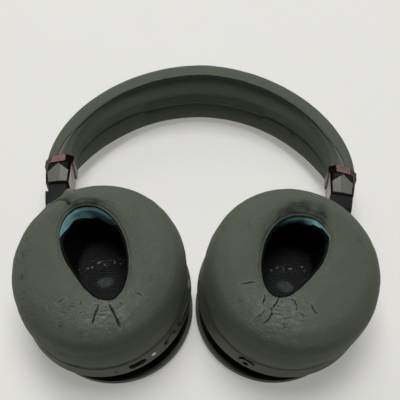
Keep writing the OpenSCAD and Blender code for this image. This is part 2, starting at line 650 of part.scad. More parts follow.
module ear_pad(s) color(leather) at_cup(s) translate([0, 0, pad_base]) {
    rings = [for (i = [0 : pad_count - 1]) let (
        f = i * 360 / pad_count, o = pad_edge(f), e = ear_point(f, 0), l = norm(e - o), d = (e - o) / l)
        [for (p = pad_profile(l)) [o[0] + d[0] * p[0], o[1] + d[1] * p[0], p[1]]]];
    m = len(rings[0]);
    n = pad_count;
    faces = [for (i = [0 : n - 1]) for (j = [0 : m - 1])
        let (a = i * m + j, b = i * m + (j + 1) % m, c = ((i + 1) % n) * m + j,
            d = ((i + 1) % n) * m + (j + 1) % m)
        each [[a, b, d], [a, d, c]]];
    polyhedron([for (r = rings) each r], faces, convexity = 6);
}

module ear_prism(g, z0, z1) translate([0, 0, z0]) linear_extrude(z1 - z0)
    polygon([for (i = [0 : pad_count - 1]) ear_point(i * 360 / pad_count, g)]);

liner_low = pad_base + 12;
module ear_liner(s) color(teal) at_cup(s) difference() {
    ear_prism(-gap - 0.3, liner_low, pad_base + pad_t - 6);
    ear_prism(-gap - 0.3 - liner_t, liner_low - 1, pad_base + pad_t);
}

// Black cloth tray: its wall meets the liner and its floor lies over the driver
mesh_z = pad_base + 1.1;
module ear_mesh(s) color(black) at_cup(s) {
    difference() {
        ear_prism(-gap - 0.3, mesh_z, liner_low - 0.05);
        ear_prism(-gap - 1.1, mesh_z + 0.6, liner_low + 1);
    }
}

module pad_ring(s) color(black) at_cup(s) difference() {
    translate([0, 0, driver_z + 0.05]) cylinder(r = inner_r - 0.2, h = 0.8);
    ear_prism(2, driver_z - 1, driver_z + 3);
    translate([0, 1.4, 0]) cylinder(r = driver_r + 1.2, h = 40);
    if (s > 0) on_wall(jack_at[0], jack_at[1]) box([24, -4.4, -4], [50, 4.4, 8]);
}

// ---- Boards, sockets and controls of the left cup ------------------------------
board_z = ledge_z + 0.1;
module sector(r0, r1, a0, a1, z0, z1) translate([0, 0, z0]) rotate([0, 0, a0])
    rotate_extrude(angle = a1 - a0) translate([r0, 0]) square([r1 - r0, z1 - z0]);

module main_board() color(board_green) at_cup(left) difference() {
    sector(recess_r + 2.2, inner_r - 3, -186, -88, board_z, board_z + 0.9);
    for (a = cup_spots) rotate([0, 0, a]) translate([cup_screw_r, 0, 0]) cylinder(r = 3.4, h = 40);
}

module usb_c_port() color(steel) at_cup(left) on_wall(usb_at[0], usb_at[1]) {
    difference() {
        slot_x(usb_w + 0.5, usb_h + 0.5, seam_r - 8.5, seam_r - 0.6);
        slot_x(usb_w, usb_h, seam_r - 7.5, seam_r + 1);
    }
    box([seam_r - 8, -3.3, -0.35], [seam_r - 2, 3.3, 0.35]);
}

module power_slider() color(black) at_cup(left) on_wall(power_at[0], power_at[1], wall_r(power_at[1]))
    difference() {
        union() {
            slot_x(power_l, 2.7, -5, 0.7);
            box([-5.4, -power_l / 2 - 1, -1.35], [-4.3, power_l / 2 + 1, 1.35]);
        }
        for (i = [-1, 0, 1]) box([0.3, i * 1.6 - 0.3, -2], [1, i * 1.6 + 0.3, 2]);
    }

module push_button() color(black) at_cup(left) on_wall(button_at[0], button_at[1], wall_r(button_at[1])) {
    slot_x(button_l, 3, -4, 0.6);
    slot_x(button_l + 1.4, 3.8, -5, -4);
}

module volume_rocker() color(black) at_cup(left) on_wall(rocker_at[0], rocker_at[1], wall_r(rocker_at[1])) {
    slot_x(rocker_l, 2.9, -3.6, 0.4);
    for (i = [-4 : 4]) translate([0, i * 1.3, 0]) rod_x(0.4, 0.3, 0.6);
}

module status_ring() color("#d8dad4") at_cup(left)
    on_wall(ring_at[0], ring_at[1], wall_r(ring_at[1])) rotate([0, 90, 0]) tube(1.3, 0.75, -2, 0.02);

module microphones_left() color(steel) at_cup(left) {
    on_wall(mic_at[0], mic_at[1], inner_r - 4) box([0, -1.8, -1.3], [1.1, 1.8, 1.3]);
    on_wall(-70, mic_at[1], inner_r - 4) box([0, -1.8, -1.3], [1.1, 1.8, 1.3]);
}

// ---- Battery, board and socket of the right cup --------------------------------
module battery() color(steel) at_cup(right)
    sector(recess_r + 2.2, inner_r - 3.2, 60, 120, cover_low + 3.4, baffle_z - 0.3);

module side_board() color(board_green) at_cup(right) difference() {
    sector(recess_r + 2.2, inner_r - 3, -150, -60, ledge_z - 0.35, ledge_z + 0.25);
    for (a = cup_spots) rotate([0, 0, a]) translate([cup_screw_r, 0, 0]) cylinder(r = 3.4, h = 40);
}

module jack_socket() color(black) at_cup(right) on_wall(jack_at[0], jack_at[1]) difference() {
    union() {
        rod_x(barrel_r, jack_face - jack_l - 1, jack_face);
        rod_x(bezel_r, bezel_seat, jack_face);
    }
    rod_x(jack_r, jack_face - jack_l, jack_face + 1);
}

// ---- The part -----------------------------------------------------------------
band_cover();
band_cushion();
band_frame();
band_spring();
band_cable();
detent_springs();
slider_track(left);  // slider_track_left
slider_track(right);  // slider_track_right
collar(left);  // collar_left
collar(right);  // collar_right
end_block(left);  // end_block_left
end_block(right);  // end_block_right
block_cheeks(left);  // block_cheeks_left
block_cheeks(right);  // block_cheeks_right
slider(left);  // slider_left
slider(right);  // slider_right
swivel_clip(left);  // swivel_clip_left
swivel_clip(right);  // swivel_clip_right
arm(left);  // arm_left
arm(right);  // arm_right
outer_disc(left);  // outer_disc_left
outer_disc(right);  // outer_disc_right
disc_screws(left);  // disc_screws_left
disc_screws(right);  // disc_screws_right
gimbal_ring(left);  // gimbal_ring_left
gimbal_ring(right);  // gimbal_ring_right
gimbal_pins(left);  // gimbal_pins_left
gimbal_pins(right);  // gimbal_pins_right
back_cover(left);  // back_cover_left
back_cover(right);  // back_cover_right
housing(left);  // housing_left
housing(right);  // housing_right
baffle(left);  // baffle_left
baffle(right);  // baffle_right
cup_screws(left);  // cup_screws_left
cup_screws(right);  // cup_screws_right
driver_basket(left);  // driver_basket_left
driver_basket(right);  // driver_basket_right
driver_magnet(left);  // driver_magnet_left
driver_magnet(right);  // driver_magnet_right
diaphragm(left);  // diaphragm_left
diaphragm(right);  // diaphragm_right
pad_ring(left);  // pad_ring_left
pad_ring(right);  // pad_ring_right
ear_mesh(left);  // ear_mesh_left
ear_mesh(right);  // ear_mesh_right
ear_liner(left);  // ear_liner_left
ear_liner(right);  // ear_liner_right
ear_pad(left);  // ear_pad_left
ear_pad(right);  // ear_pad_right
main_board();
usb_c_port();
power_slider();
push_button();
volume_rocker();
status_ring();
microphones_left();
battery();
side_board();
jack_socket();
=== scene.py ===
"""Looks of an over-ear headset that lies folded flat, with its ear pads up."""
import json
import math

import bmesh
import bpy
import numpy as np
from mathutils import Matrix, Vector, noise


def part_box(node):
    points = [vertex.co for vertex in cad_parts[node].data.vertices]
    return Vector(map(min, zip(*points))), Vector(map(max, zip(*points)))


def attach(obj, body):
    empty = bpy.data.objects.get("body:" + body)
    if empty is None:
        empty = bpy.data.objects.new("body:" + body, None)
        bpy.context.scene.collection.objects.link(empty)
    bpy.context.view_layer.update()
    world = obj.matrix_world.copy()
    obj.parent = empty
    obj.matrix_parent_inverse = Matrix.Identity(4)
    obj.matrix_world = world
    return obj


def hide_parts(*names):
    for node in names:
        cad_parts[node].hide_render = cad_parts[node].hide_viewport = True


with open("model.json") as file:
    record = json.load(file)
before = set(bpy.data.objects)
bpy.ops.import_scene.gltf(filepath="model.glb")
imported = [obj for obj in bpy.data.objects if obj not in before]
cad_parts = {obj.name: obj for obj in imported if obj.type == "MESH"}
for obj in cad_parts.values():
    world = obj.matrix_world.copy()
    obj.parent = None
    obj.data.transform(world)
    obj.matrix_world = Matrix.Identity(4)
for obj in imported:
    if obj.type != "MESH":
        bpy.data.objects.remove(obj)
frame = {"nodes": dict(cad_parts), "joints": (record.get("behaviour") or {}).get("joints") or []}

bl_info = {
    "name": "Folded headset",
    "version": (1, 0, 0),
    "blender": (4, 5, 0),
    "location": "3D View > Sidebar > Headset",
    "description": "Soft parts, finishes and stage of an over-ear headset",
    "category": "Object",
}

MM = 0.001
SIDES = ("left", "right")
JOINTS = {j["name"]: j for j in frame["joints"]}
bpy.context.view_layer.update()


def linear(code):
    """Turns an sRGB hex colour into the linear colour that a shader takes."""
    parts = [int(code[i:i + 2], 16) / 255 for i in (1, 3, 5)]
    return tuple(c / 12.92 if c <= 0.04045 else ((c + 0.055) / 1.055) ** 2.4 for c in parts) + (1.0,)


def length(name, description, value):
    """A size in metres, given in millimetres."""
    return bpy.props.FloatProperty(
        name=name, description=description, default=value * MM, unit="LENGTH", subtype="DISTANCE")


def colour(name, description, code):
    """A colour that a finish starts from."""
    return bpy.props.FloatVectorProperty(
        name=name, description=description, default=linear(code), size=4, min=0, max=1, subtype="COLOR")


class HeadsetSizes(bpy.types.PropertyGroup):
    """Sizes of the soft parts."""
    pad_half_width: length("Pad half width", "Half width of an ear pad across the ear", 45.9)
    pad_half_length: length("Pad half length", "Half length of an ear pad along the ear", 46.9)
    pad_thickness: length("Pad thickness", "Height of an ear pad above its seam", 35.2)
    pad_base: length("Pad base", "Height of the pad's seam in the cup", 23.1)
    shoulder: length("Shoulder radius", "Roundness of a pad's outer edge", 15.0)
    draw: length("Shoulder draw-in", "How far a pad's side leans in below its shoulder", 0.8)
    lip: length("Lip radius", "Roundness of a pad's edge at the ear opening", 3.0)
    ear_half_width: length("Ear opening half width", "Half width of the opening", 17.0)
    ear_half_length: length("Ear opening half length", "Half length of the opening", 25.5)
    ear_tilt: bpy.props.FloatProperty(
        name="Ear opening tilt", description="Turn of the opening away from the other cup",
        default=math.radians(11.6), subtype="ANGLE")
    swell: length("Swell", "How far the foam may push the leather out", 1.1)
    arch_half_width: length("Arch half width", "Half width of the headband over its outer face", 85.5)
    arch_depth: length("Arch depth", "Depth of the headband to its crown", 66.4)
    band_thickness: length("Band thickness", "Thickness of the padded headband", 14.0)
    crown_width: length("Crown width", "Width of the headband at its crown", 38.0)
    end_width: length("End width", "Width of the headband at its ends", 25.0)
    leather_end: length("Leather end", "Where the band's leather ends, from the widest point", 4.2)
    leather_slant: bpy.props.FloatProperty(
        name="Leather end slant", description="Slant of the leather's ends, lower on the outside",
        default=math.radians(14), subtype="ANGLE")
    channel_half_length: length("Channel half length", "Half length of the channel in the cushion", 36.0)
    net_pitch: length("Net pitch", "Spacing of the openings in the net over the driver", 1.15)
    thread: length("Net thread", "Radius of the net's thread", 0.11)


class HeadsetColours(bpy.types.PropertyGroup):
    """Colours of the finishes."""
    pad_leather: colour("Pad leather", "Ear pads", "#4e5447")
    band_leather: colour("Band leather", "Headband", "#505649")
    olive: colour("Olive plastic", "Housings and arms", "#565a4d")
    dark_olive: colour("Dark plastic", "Outer discs", "#24271f")
    cheek: colour("Cheek plates", "Plates on the end blocks", "#474940")
    bronze: colour("Bronze", "Collars and end blocks", "#4f3f3b")
    teal: colour("Teal cloth", "Lining of the ear openings", "#66949a")
    net: colour("Black knit", "Cloth over the drivers", "#060709")
    table: colour("Table", "Floor and backdrop", "#efeeea")


# ---- Node building ------------------------------------------------------------
def feed(tree, node, inputs):
    """Sets a node's sockets to values, or links them to other nodes' outputs."""
    for key, value in inputs.items():
        if isinstance(value, bpy.types.NodeSocket):
            tree.links.new(value, node.inputs[key])
        else:
            node.inputs[key].default_value = value


def add(tree, kind, inputs=None, **settings):
    """Adds a node with its settings and what its sockets take."""
    node = tree.nodes.new(kind)
    for name, value in settings.items():
        setattr(node, name, value)
    feed(tree, node, inputs or {})
    return node


def new_material(name):
    """A node material with its shader, and the object coordinates that its patterns use."""
    mat = bpy.data.materials.new(name)
    mat.use_nodes = True
    tree = mat.node_tree
    tree.nodes.clear()
    shader = add(tree, "ShaderNodeBsdfPrincipled")
    out = add(tree, "ShaderNodeOutputMaterial")
    tree.links.new(shader.outputs[0], out.inputs["Surface"])
    place = add(tree, "ShaderNodeTexCoord").outputs["Object"]
    return mat, tree, shader, place


def shade(c, k):
    """The colour c, k times as light."""
    return (c[0] * k, c[1] * k, c[2] * k, 1.0)


def soften(tree, value, low, high, to_low, to_high):
    """Moves a value from one range to another."""
    return add(tree, "ShaderNodeMapRange", {
        "Value": value, "From Min": low, "From Max": high, "To Min": to_low, "To Max": to_high}).outputs[0]


def mixed(tree, factor, a, b):
    """Colour between a and b."""
    return add(tree, "ShaderNodeMix", {0: factor, 6: a, 7: b}, data_type="RGBA").outputs[2]


def leather(name, base):
    """Coated leather, embossed with a pebble grain of about 1 mm and rubbed smooth in places:
    a soft broad shine that breaks up in the grain, slightly uneven colour, dark where it is torn.
    Pieces also carry painted shade in seams, puckers and along lips, and painted highlights on ridges and
    edges."""
    mat, tree, shader, place = new_material(name)
    warp = add(tree, "ShaderNodeTexNoise", {"Vector": place, "Scale": 330.0, "Detail": 2.0})
    shifted = add(tree, "ShaderNodeVectorMath", {0: warp.outputs["Color"], 1: (0.0011,) * 3},
                  operation="MULTIPLY")
    spot = add(tree, "ShaderNodeVectorMath", {0: place, 1: shifted.outputs[0]}, operation="ADD").outputs[0]
    # Pebbles 1.1 mm wide
    pebble = add(tree, "ShaderNodeTexVoronoi", {"Vector": spot, "Scale": 900.0}, feature="DISTANCE_TO_EDGE")
    grain = soften(tree, pebble.outputs["Distance"], 0.0, 0.22, 0.0, 1.0)
    fine = add(tree, "ShaderNodeTexNoise", {"Vector": place, "Scale": 1500.0, "Detail": 3.0}).outputs["Fac"]
    broad = add(tree, "ShaderNodeTexNoise", {"Vector": place, "Scale": 38.0, "Detail": 3.0}).outputs["Fac"]
    tone = mixed(tree, soften(tree, broad, 0.3, 0.7, 0.0, 1.0), shade(base, 0.93), shade(base, 1.07))
    tone = mixed(tree, soften(tree, grain, 0.0, 1.0, 0.30, 0.0), tone, shade(base, 0.62))
    height = add(tree, "ShaderNodeMath", {0: grain, 1: fine}, operation="ADD").outputs[0]
    # This attribute carries soil, and painted shade along the back of the ear openings' lips; it darkens the
    # colour
    soil_and_shade = add(tree, "ShaderNodeAttribute", attribute_name="soil_and_shade").outputs["Fac"]
    smear = add(tree, "ShaderNodeTexNoise", {"Vector": place, "Scale": 210.0, "Detail": 4.0}).outputs["Fac"]
    soiled_and_shaded = add(tree, "ShaderNodeMath", {0: soil_and_shade, 1: soften(tree, smear, 0.35, 0.65, 0.5, 1.0)},
                operation="MULTIPLY", use_clamp=True).outputs[0]
    tone = mixed(tree, soiled_and_shaded, tone, linear("#12150f"))
    # This attribute carries greyer rubbed leather, and painted highlights on ridges, lifted edges, a fold's
    # crest and beside seams; it lightens the colour
    rub_and_highlight = add(tree, "ShaderNodeAttribute", attribute_name="rub_and_highlight").outputs["Fac"]
    tone = mixed(tree, rub_and_highlight, tone, linear("#70726a"))
    # This attribute carries tears and open creases, and painted shade in seams and puckers; it darkens the
    # colour to near black
    crack_and_shade = add(tree, "ShaderNodeAttribute", attribute_name="crack_and_shade").outputs["Fac"]
    tone = mixed(tree, crack_and_shade, tone, linear("#141612"))
    gloss = soften(tree, add(tree, "ShaderNodeMath", {0: broad, 1: fine}, operation="ADD").outputs[0],
                   0.7, 1.3, 0.55, 0.68)
    bump = add(tree, "ShaderNodeBump", {"Height": height, "Strength": 0.8, "Distance": 0.00016})
    feed(tree, shader, {"Base Color": tone, "Roughness": gloss, "Sheen Weight": 0.06,
                        "Specular IOR Level": 0.3, "Normal": bump.outputs[0]})
    return mat


def moulded(name, base, rough, texture):
    """Moulded ABS with a spark-eroded texture: an even matt colour with a fine broken shine."""
    mat, tree, shader, place = new_material(name)
    fine = add(tree, "ShaderNodeTexNoise", {"Vector": place, "Scale": 2600.0, "Detail": 3.0}).outputs["Fac"]
    broad = add(tree, "ShaderNodeTexNoise", {"Vector": place, "Scale": 60.0, "Detail": 4.0}).outputs["Fac"]
    tone = mixed(tree, soften(tree, broad, 0.3, 0.7, 0.0, 1.0), shade(base, 0.9), shade(base, 1.08))
    gloss = soften(tree, broad, 0.3, 0.7, rough - 0.06, rough + 0.06)
    bump = add(tree, "ShaderNodeBump", {"Height": fine, "Strength": texture, "Distance": 0.00005})
    feed(tree, shader, {"Base Color": tone, "Roughness": gloss, "Normal": bump.outputs[0]})
    return mat


def metal(name, base, rough, scratch, painted_dark_reflection=False):
    """Machined metal under a clear finish: it mirrors the room, with hairlines and handling marks.
    With the flag set, the faces that lie across the band's edge are painted black, as a painted dark
    reflection."""
    mat, tree, shader, place = new_material(name)
    drawn = add(tree, "ShaderNodeMapping", {"Vector": place, "Scale": (1.0, 1.0, 14.0)}).outputs[0]
    hair = add(tree, "ShaderNodeTexNoise", {"Vector": drawn, "Scale": 420.0, "Detail": 4.0}).outputs["Fac"]
    smudge = add(tree, "ShaderNodeTexNoise", {"Vector": place, "Scale": 160.0, "Detail": 3.0}).outputs["Fac"]
    tone = mixed(tree, soften(tree, smudge, 0.35, 0.7, 0.0, 1.0), base, shade(base, 0.78))
    # Painted dark reflection: faces whose normal lies near the piece's Z axis get a black base colour
    if painted_dark_reflection:
        facing = add(tree, "ShaderNodeTexCoord").outputs["Normal"]
        facing = add(tree, "ShaderNodeSeparateXYZ", {0: facing}).outputs["Z"]
        facing = add(tree, "ShaderNodeMath", {0: facing}, operation="ABSOLUTE").outputs[0]
        front = soften(tree, facing, 0.75, 0.8, 0.0, 1.0)
        tone = mixed(tree, front, tone, linear("#080707"))
    gloss = soften(tree, smudge, 0.35, 0.7, rough, rough + 0.12)
    bump = add(tree, "ShaderNodeBump", {"Height": hair, "Strength": scratch, "Distance": 0.00002})
    feed(tree, shader, {"Base Color": tone, "Roughness": gloss, "Metallic": 1.0, "Normal": bump.outputs[0]})
    return mat


def cloth(name, base, pitch, rough, sheen):
    """Knitted polyester in ribs of two stitches, each pitch metres wide: soft, without a highlight."""
    mat, tree, shader, place = new_material(name)
    ribs = {"Vector": place, "Scale": 1 / pitch / 6.28, "Distortion": 1.5, "Detail": 2.0, "Detail Scale": 3.0}
    across, along = [add(tree, "ShaderNodeTexWave", ribs, bands_direction=axis).outputs["Fac"]
                     for axis in ("X", "Z")]
    weave = add(tree, "ShaderNodeMath", {0: across, 1: along}, operation="MULTIPLY").outputs[0]
    fuzz = add(tree, "ShaderNodeTexNoise", {"Vector": place, "Scale": 900.0, "Detail": 4.0}).outputs["Fac"]
    broad = add(tree, "ShaderNodeTexNoise", {"Vector": place, "Scale": 190.0, "Detail": 3.0}).outputs["Fac"]
    tone = mixed(tree, soften(tree, broad, 0.35, 0.65, 0.0, 1.0), shade(base, 0.7), shade(base, 1.15))
    tone = mixed(tree, soften(tree, weave, 0.0, 1.0, 0.35, 0.0), tone, shade(base, 0.45))
    height = add(tree, "ShaderNodeMath", {0: weave, 1: fuzz}, operation="ADD").outputs[0]
    bump = add(tree, "ShaderNodeBump", {"Height": height, "Strength": 0.5, "Distance": 0.00012})
    feed(tree, shader, {"Base Color": tone, "Roughness": rough, "Sheen Weight": sheen,
                        "Specular IOR Level": 0.25, "Normal": bump.outputs[0]})
    return mat


def knit_tray(name, base):
    """Black knit stretched over the driver: nearly no light comes back, except from painted glints of the
    driver's edge where the knit is worn, and from the driver's centre, which shows through where the knit is
    thin."""
    mat, tree, shader, place = new_material(name)
    fuzz = add(tree, "ShaderNodeTexNoise", {"Vector": place, "Scale": 1100.0, "Detail": 4.0}).outputs["Fac"]
    # Stitches 0.9 mm wide
    stitch = add(tree, "ShaderNodeTexVoronoi", {"Vector": place, "Scale": 1100.0}).outputs["Distance"]
    tone = mixed(tree, soften(tree, stitch, 0.1, 0.6, 0.0, 1.0), shade(base, 1.5), shade(base, 0.4))
    sheer = add(tree, "ShaderNodeAttribute", attribute_name="sheer").outputs["Fac"]
    dots = soften(tree, stitch, 0.25, 0.45, 1.0, 0.35)
    tone = mixed(tree, add(tree, "ShaderNodeMath", {0: sheer, 1: dots}, operation="MULTIPLY").outputs[0],
                 tone, linear("#5c665f"))
    hem = add(tree, "ShaderNodeAttribute", attribute_name="hem").outputs["Fac"]
    tone = mixed(tree, hem, tone, linear("#453a34"))
    # Where the knit is worn thin, pale specks are painted as glints of the driver's edge showing through
    worn = add(tree, "ShaderNodeAttribute", attribute_name="worn").outputs["Fac"]
    specks = add(tree, "ShaderNodeTexNoise", {"Vector": place, "Scale": 620.0, "Detail": 1.0}).outputs["Fac"]
    painted_glint = add(tree, "ShaderNodeMath", {0: soften(tree, specks, 0.6, 0.68, 0.0, 1.0), 1: worn},
                operation="MULTIPLY", use_clamp=True).outputs[0]
    tone = mixed(tree, painted_glint, tone, linear("#aab39f"))
    bump = add(tree, "ShaderNodeBump", {"Height": fuzz, "Strength": 0.6, "Distance": 0.0002})
    feed(tree, shader, {"Base Color": tone, "Roughness": 0.85, "Specular IOR Level": 0.15,
                        "Normal": bump.outputs[0]})
    return mat


# ---- Mesh building ------------------------------------------------------------
def show(obj):
    bpy.context.scene.collection.objects.link(obj)
    return obj


def net_mesh(name, points, round_u, round_v, flip):
    """A mesh from a net of points, points[u][v]; round_u and round_v close it on itself."""
    nu, nv = points.shape[:2]
    u = np.arange(nu if round_u else nu - 1)
    v = np.arange(nv if round_v else nv - 1)
    a, b = np.meshgrid(u, v, indexing="ij")
    c, d = (a + 1) % nu, (b + 1) % nv
    quads = np.stack([a * nv + b, c * nv + b, c * nv + d, a * nv + d], axis=-1).reshape(-1, 4)
    if flip:
        quads = quads[:, ::-1]
    mesh = bpy.data.meshes.new(name)
    mesh.from_pydata(points.reshape(-1, 3).tolist(), [], quads.tolist())
    mesh.polygons.foreach_set("use_smooth", [True] * len(mesh.polygons))
    mesh.update()
    return show(bpy.data.objects.new(name, mesh))


def paint(obj, name, values):
    """Stores one number for each point, for a material to read."""
    data = obj.data.attributes.new(name, "FLOAT", "POINT").data
    data.foreach_set("value", np.ravel(values).astype(np.float32))


def spline(a, b, c, d, t):
    """Smooth value at part t of the way from b to c, with a before them and d after."""
    return 0.5 * (2 * b + (c - a) * t + (2 * a - 5 * b + 4 * c - d) * t ** 2
                  + (3 * b - a - 3 * c + d) * t ** 3)


def through(controls, steps):
    """Smooth curve through controls, [..., point, axis], with steps[i] samples in part i."""
    n = controls.shape[-2]
    at = np.concatenate([i + np.arange(k) / k for i, k in enumerate(steps)] + [[n - 1.0]])
    i = np.minimum(at.astype(int), n - 2)
    t = (at - i)[:, None]
    p = [controls[..., np.clip(i + k, 0, n - 1), :] for k in (-1, 0, 1, 2)]
    return spline(*p, t), at


def sample(grid, fu, fv, round_u):
    """Values of grid[u][v] at the fractional places fu, fv, smoothly between its points."""
    def one(g, f, closed):
        n = g.shape[0]
        i = np.floor(f).astype(int)
        t = (f - i).reshape((-1,) + (1,) * (g.ndim - 1))
        pick = (lambda k: g[(i + k) % n]) if closed else (lambda k: g[np.clip(i + k, 0, n - 1)])
        return spline(pick(-1), pick(0), pick(1), pick(2), t)
    part = one(grid, fu, round_u)
    return np.swapaxes(one(np.swapaxes(part, 0, 1), fv, False), 0, 1)


def outward(points, round_u, flip):
    """Unit normals of a net of points."""
    if round_u:
        du = np.roll(points, -1, 0) - np.roll(points, 1, 0)
    else:
        du = np.gradient(points, axis=0)
    dv = np.gradient(points, axis=1)
    n = np.cross(du, dv)
    n /= np.maximum(np.linalg.norm(n, axis=-1, keepdims=True), 1e-12)
    return -n if flip else n


def waves(points, size, seed, octaves=3):
    """Smooth random values from -1 to 1, features size millimetres wide, at points in millimetres."""
    flat = (points.reshape(-1, 3) / size + seed).tolist()
    return np.array([noise.fractal(p, 0.7, 2.1, octaves) for p in flat]).reshape(points.shape[:-1])


def near_line(x, y, line):
    """Distance from each x, y to a bent line of points."""
    best = np.full(x.shape, 1e9)
    for (x0, y0), (x1, y1) in zip(line, line[1:]):
        dx, dy = x1 - x0, y1 - y0
        t = np.clip(((x - x0) * dx + (y - y0) * dy) / (dx * dx + dy * dy), 0, 1)
        best = np.minimum(best, np.hypot(x - x0 - t * dx, y - y0 - t * dy))
    return best


def bent(start, heading, run, bend=0):
    """A line of five points, run millimetres long, that turns by bend degrees on its way."""
    turn = np.radians(heading + bend * (np.arange(4) + 0.5) / 4)
    steps = np.stack([np.cos(turn), np.sin(turn)], axis=-1) * run / 4
    return np.vstack([start, np.array(start) + np.cumsum(steps, axis=0)])


def level(edge, height):
    """The points of a flat outline, put at a height."""
    return np.concatenate([edge, np.broadcast_to(height, len(edge))[:, None]], axis=-1)


def bell(distance, width):
    """1 at no distance, falling off smoothly over the width."""
    return np.exp(-(distance / width) ** 2)


SWELL_STEPS = 20


def swell(pieces, pressure):
    """Lets foam pressure push each piece's cloth out while its held points stay put, returns the
    points where they come to rest, and removes the pieces."""
    scene = bpy.context.scene
    for obj, held in pieces:
        group = obj.vertex_groups.new(name="held")
        group.add([int(i) for i in held], 1.0, "REPLACE")
        cloth_mod = obj.modifiers.new("Cloth", "CLOTH")
        s = cloth_mod.settings
        s.quality = 6
        s.mass = 0.2
        s.tension_stiffness = s.compression_stiffness = 25
        s.shear_stiffness = 12
        s.bending_stiffness = 0.8
        s.use_pressure = True
        s.uniform_pressure_force = pressure
        s.effector_weights.gravity = 0.0
        s.vertex_group_mass = "held"
        cloth_mod.collision_settings.use_collision = False
        cloth_mod.point_cache.frame_start = 1
        cloth_mod.point_cache.frame_end = SWELL_STEPS
    for step in range(1, SWELL_STEPS + 1):
        scene.frame_set(step)
    rest = []
    graph = bpy.context.evaluated_depsgraph_get()
    for obj, _ in pieces:
        mesh = obj.evaluated_get(graph).data
        co = np.zeros(len(mesh.vertices) * 3, np.float32)
        mesh.vertices.foreach_get("co", co)
        rest.append(co.reshape(-1, 3).astype(float))
        obj.modifiers.clear()
    for obj, _ in pieces:
        mesh = obj.data
        bpy.data.objects.remove(obj)
        bpy.data.meshes.remove(mesh)
    scene.frame_set(1)
    return rest


def capped(move):
    """The same moves, none longer than the foam may push the leather."""
    size = np.linalg.norm(move, axis=-1, keepdims=True)
    return move * np.minimum(1, bpy.context.scene.headset_sizes.swell / MM / np.maximum(size, 1e-9))


def bake(obj):
    """Turns what obj's modifiers make into its own plain mesh."""
    graph = bpy.context.evaluated_depsgraph_get()
    mesh = bpy.data.meshes.new_from_object(obj.evaluated_get(graph))
    obj.modifiers.clear()
    obj.data = mesh


# ---- Cup frame: origin under the gimbal, X away from the other cup, Z through the pad ----
def cup_axes(side):
    x = np.array(JOINTS[f"nod_{side}"]["axis"], float)
    y = np.array(JOINTS[f"tilt_{side}"]["axis"], float)
    z = np.cross(x, y) * (-1 if side == "left" else 1)
    origin = np.array(JOINTS[f"tilt_{side}"]["pos_m"], float) - z * 10.5 * MM
    return origin, np.stack([x, y, z])


def place(side, points):
    """Points in the cup frame, in millimetres, to metres in the model's frame."""
    origin, axes = cup_axes(side)
    return origin + points @ axes * MM


# How far each pad's crown leans over, in the cup's plan
LEAN = {"left": (-2.0, 2.0), "right": (0.0, 1.0)}
# How each opening's lip is pulled out of the plain opening: its width, how much it is stretched along
# a line and that line's angle, how much it is pulled one way and that way's angle, and its unevenness
LIP_FORM = {"left": (0.985, 0.11, 65, 0.06, 170, 0.01), "right": (0.905, 0.07, 55, 0.06, 235, 0.03)}
# Tears of each pad in the cup's plan: start, heading, length and bend, then width and depth
CRACKS = {
    "left": [((-5, -23), -75, 10, 10, 0.4, 0.6), ((-10, -23), -115, 12, 5, 0.5, 0.7),
             ((-15, -23), -150, 3, 0, 0.25, 0.25), ((-23, -19), -165, 4, 40, 0.3, 0.3),
             ((3, -20), -60, 2.5, 0, 0.25, 0.2), ((11, -18), 0, 5, -45, 0.3, 0.25),
             ((15, -29), -90, 3, 0, 0.3, 0.2), ((3, -25), -60, 2, 0, 0.25, 0.2)],
    "right": [((-15, -20), -70, 5, -45, 0.35, 0.45), ((-14, -27), -90, 6, -75, 0.25, 0.25),
              ((-8, -20), -100, 6, -20, 0.4, 0.5), ((-11, -26), -50, 4, -60, 0.4, 0.5),
              ((-10, -29), -115, 6, -20, 0.4, 0.5), ((-3, -19), -15, 7.5, -70, 0.3, 0.45),
              ((3, -25), -55, 3, 0, 0.3, 0.4), ((4, -19), -25, 3.5, 0, 0.2, 0.2),
              ((8, -20), -80, 6, 50, 0.35, 0.4), ((-27, -17), 20, 7, 0, 0.3, 0.25)],
}
# Small open creases scattered where the leather has dried out
CREASES = {
    "left": [((33, 9), 2.6), ((34, -3), 2.4), ((31.5, -11), 2.6), ((30, -22), 3.0), ((26, -27), 2.8),
             ((21, -22), 2.6), ((12, -24), 2.6), ((20, -31), 2.4), ((-28, -2), 2.2), ((-30, -12), 2.6),
             ((14, -30), 2.4), ((-24, 20), 2.4), ((20, 30), 2.0), ((31, 18), 2.4), ((5, -36), 2.0),
             ((8, -22), 2.4)],
    "right": [((29, 20), 2.2), ((-27, 15), 1.6), ((-25, -25), 2.2), ((-3, -33), 2.4), ((12, -24), 1.8)],
}
# Side tears as lines of angle about the cup and height above the seam
SIDE_TEARS = {"left": [([(-50, 13), (-56, 9), (-62, 5.5), (-66, 3.4), (-73, 3.2)], 0.8)], "right": []}


# Middle of the plain opening in the cup's plan
EAR_MIDDLE = (-2.8, 5.6)


def ear_edge(f, grow):
    """Outline of the plain ear opening at angles f, grown by grow millimetres."""
    s = bpy.context.scene.headset_sizes
    x = (s.ear_half_width / MM + grow) * np.cos(f) * (1 + 0.1 * np.sin(f))
    y = (s.ear_half_length / MM + grow) * np.sin(f)
    c, t = math.cos(s.ear_tilt), math.sin(s.ear_tilt)
    return np.stack([EAR_MIDDLE[0] + x * c + y * t, EAR_MIDDLE[1] - x * t + y * c], axis=-1)


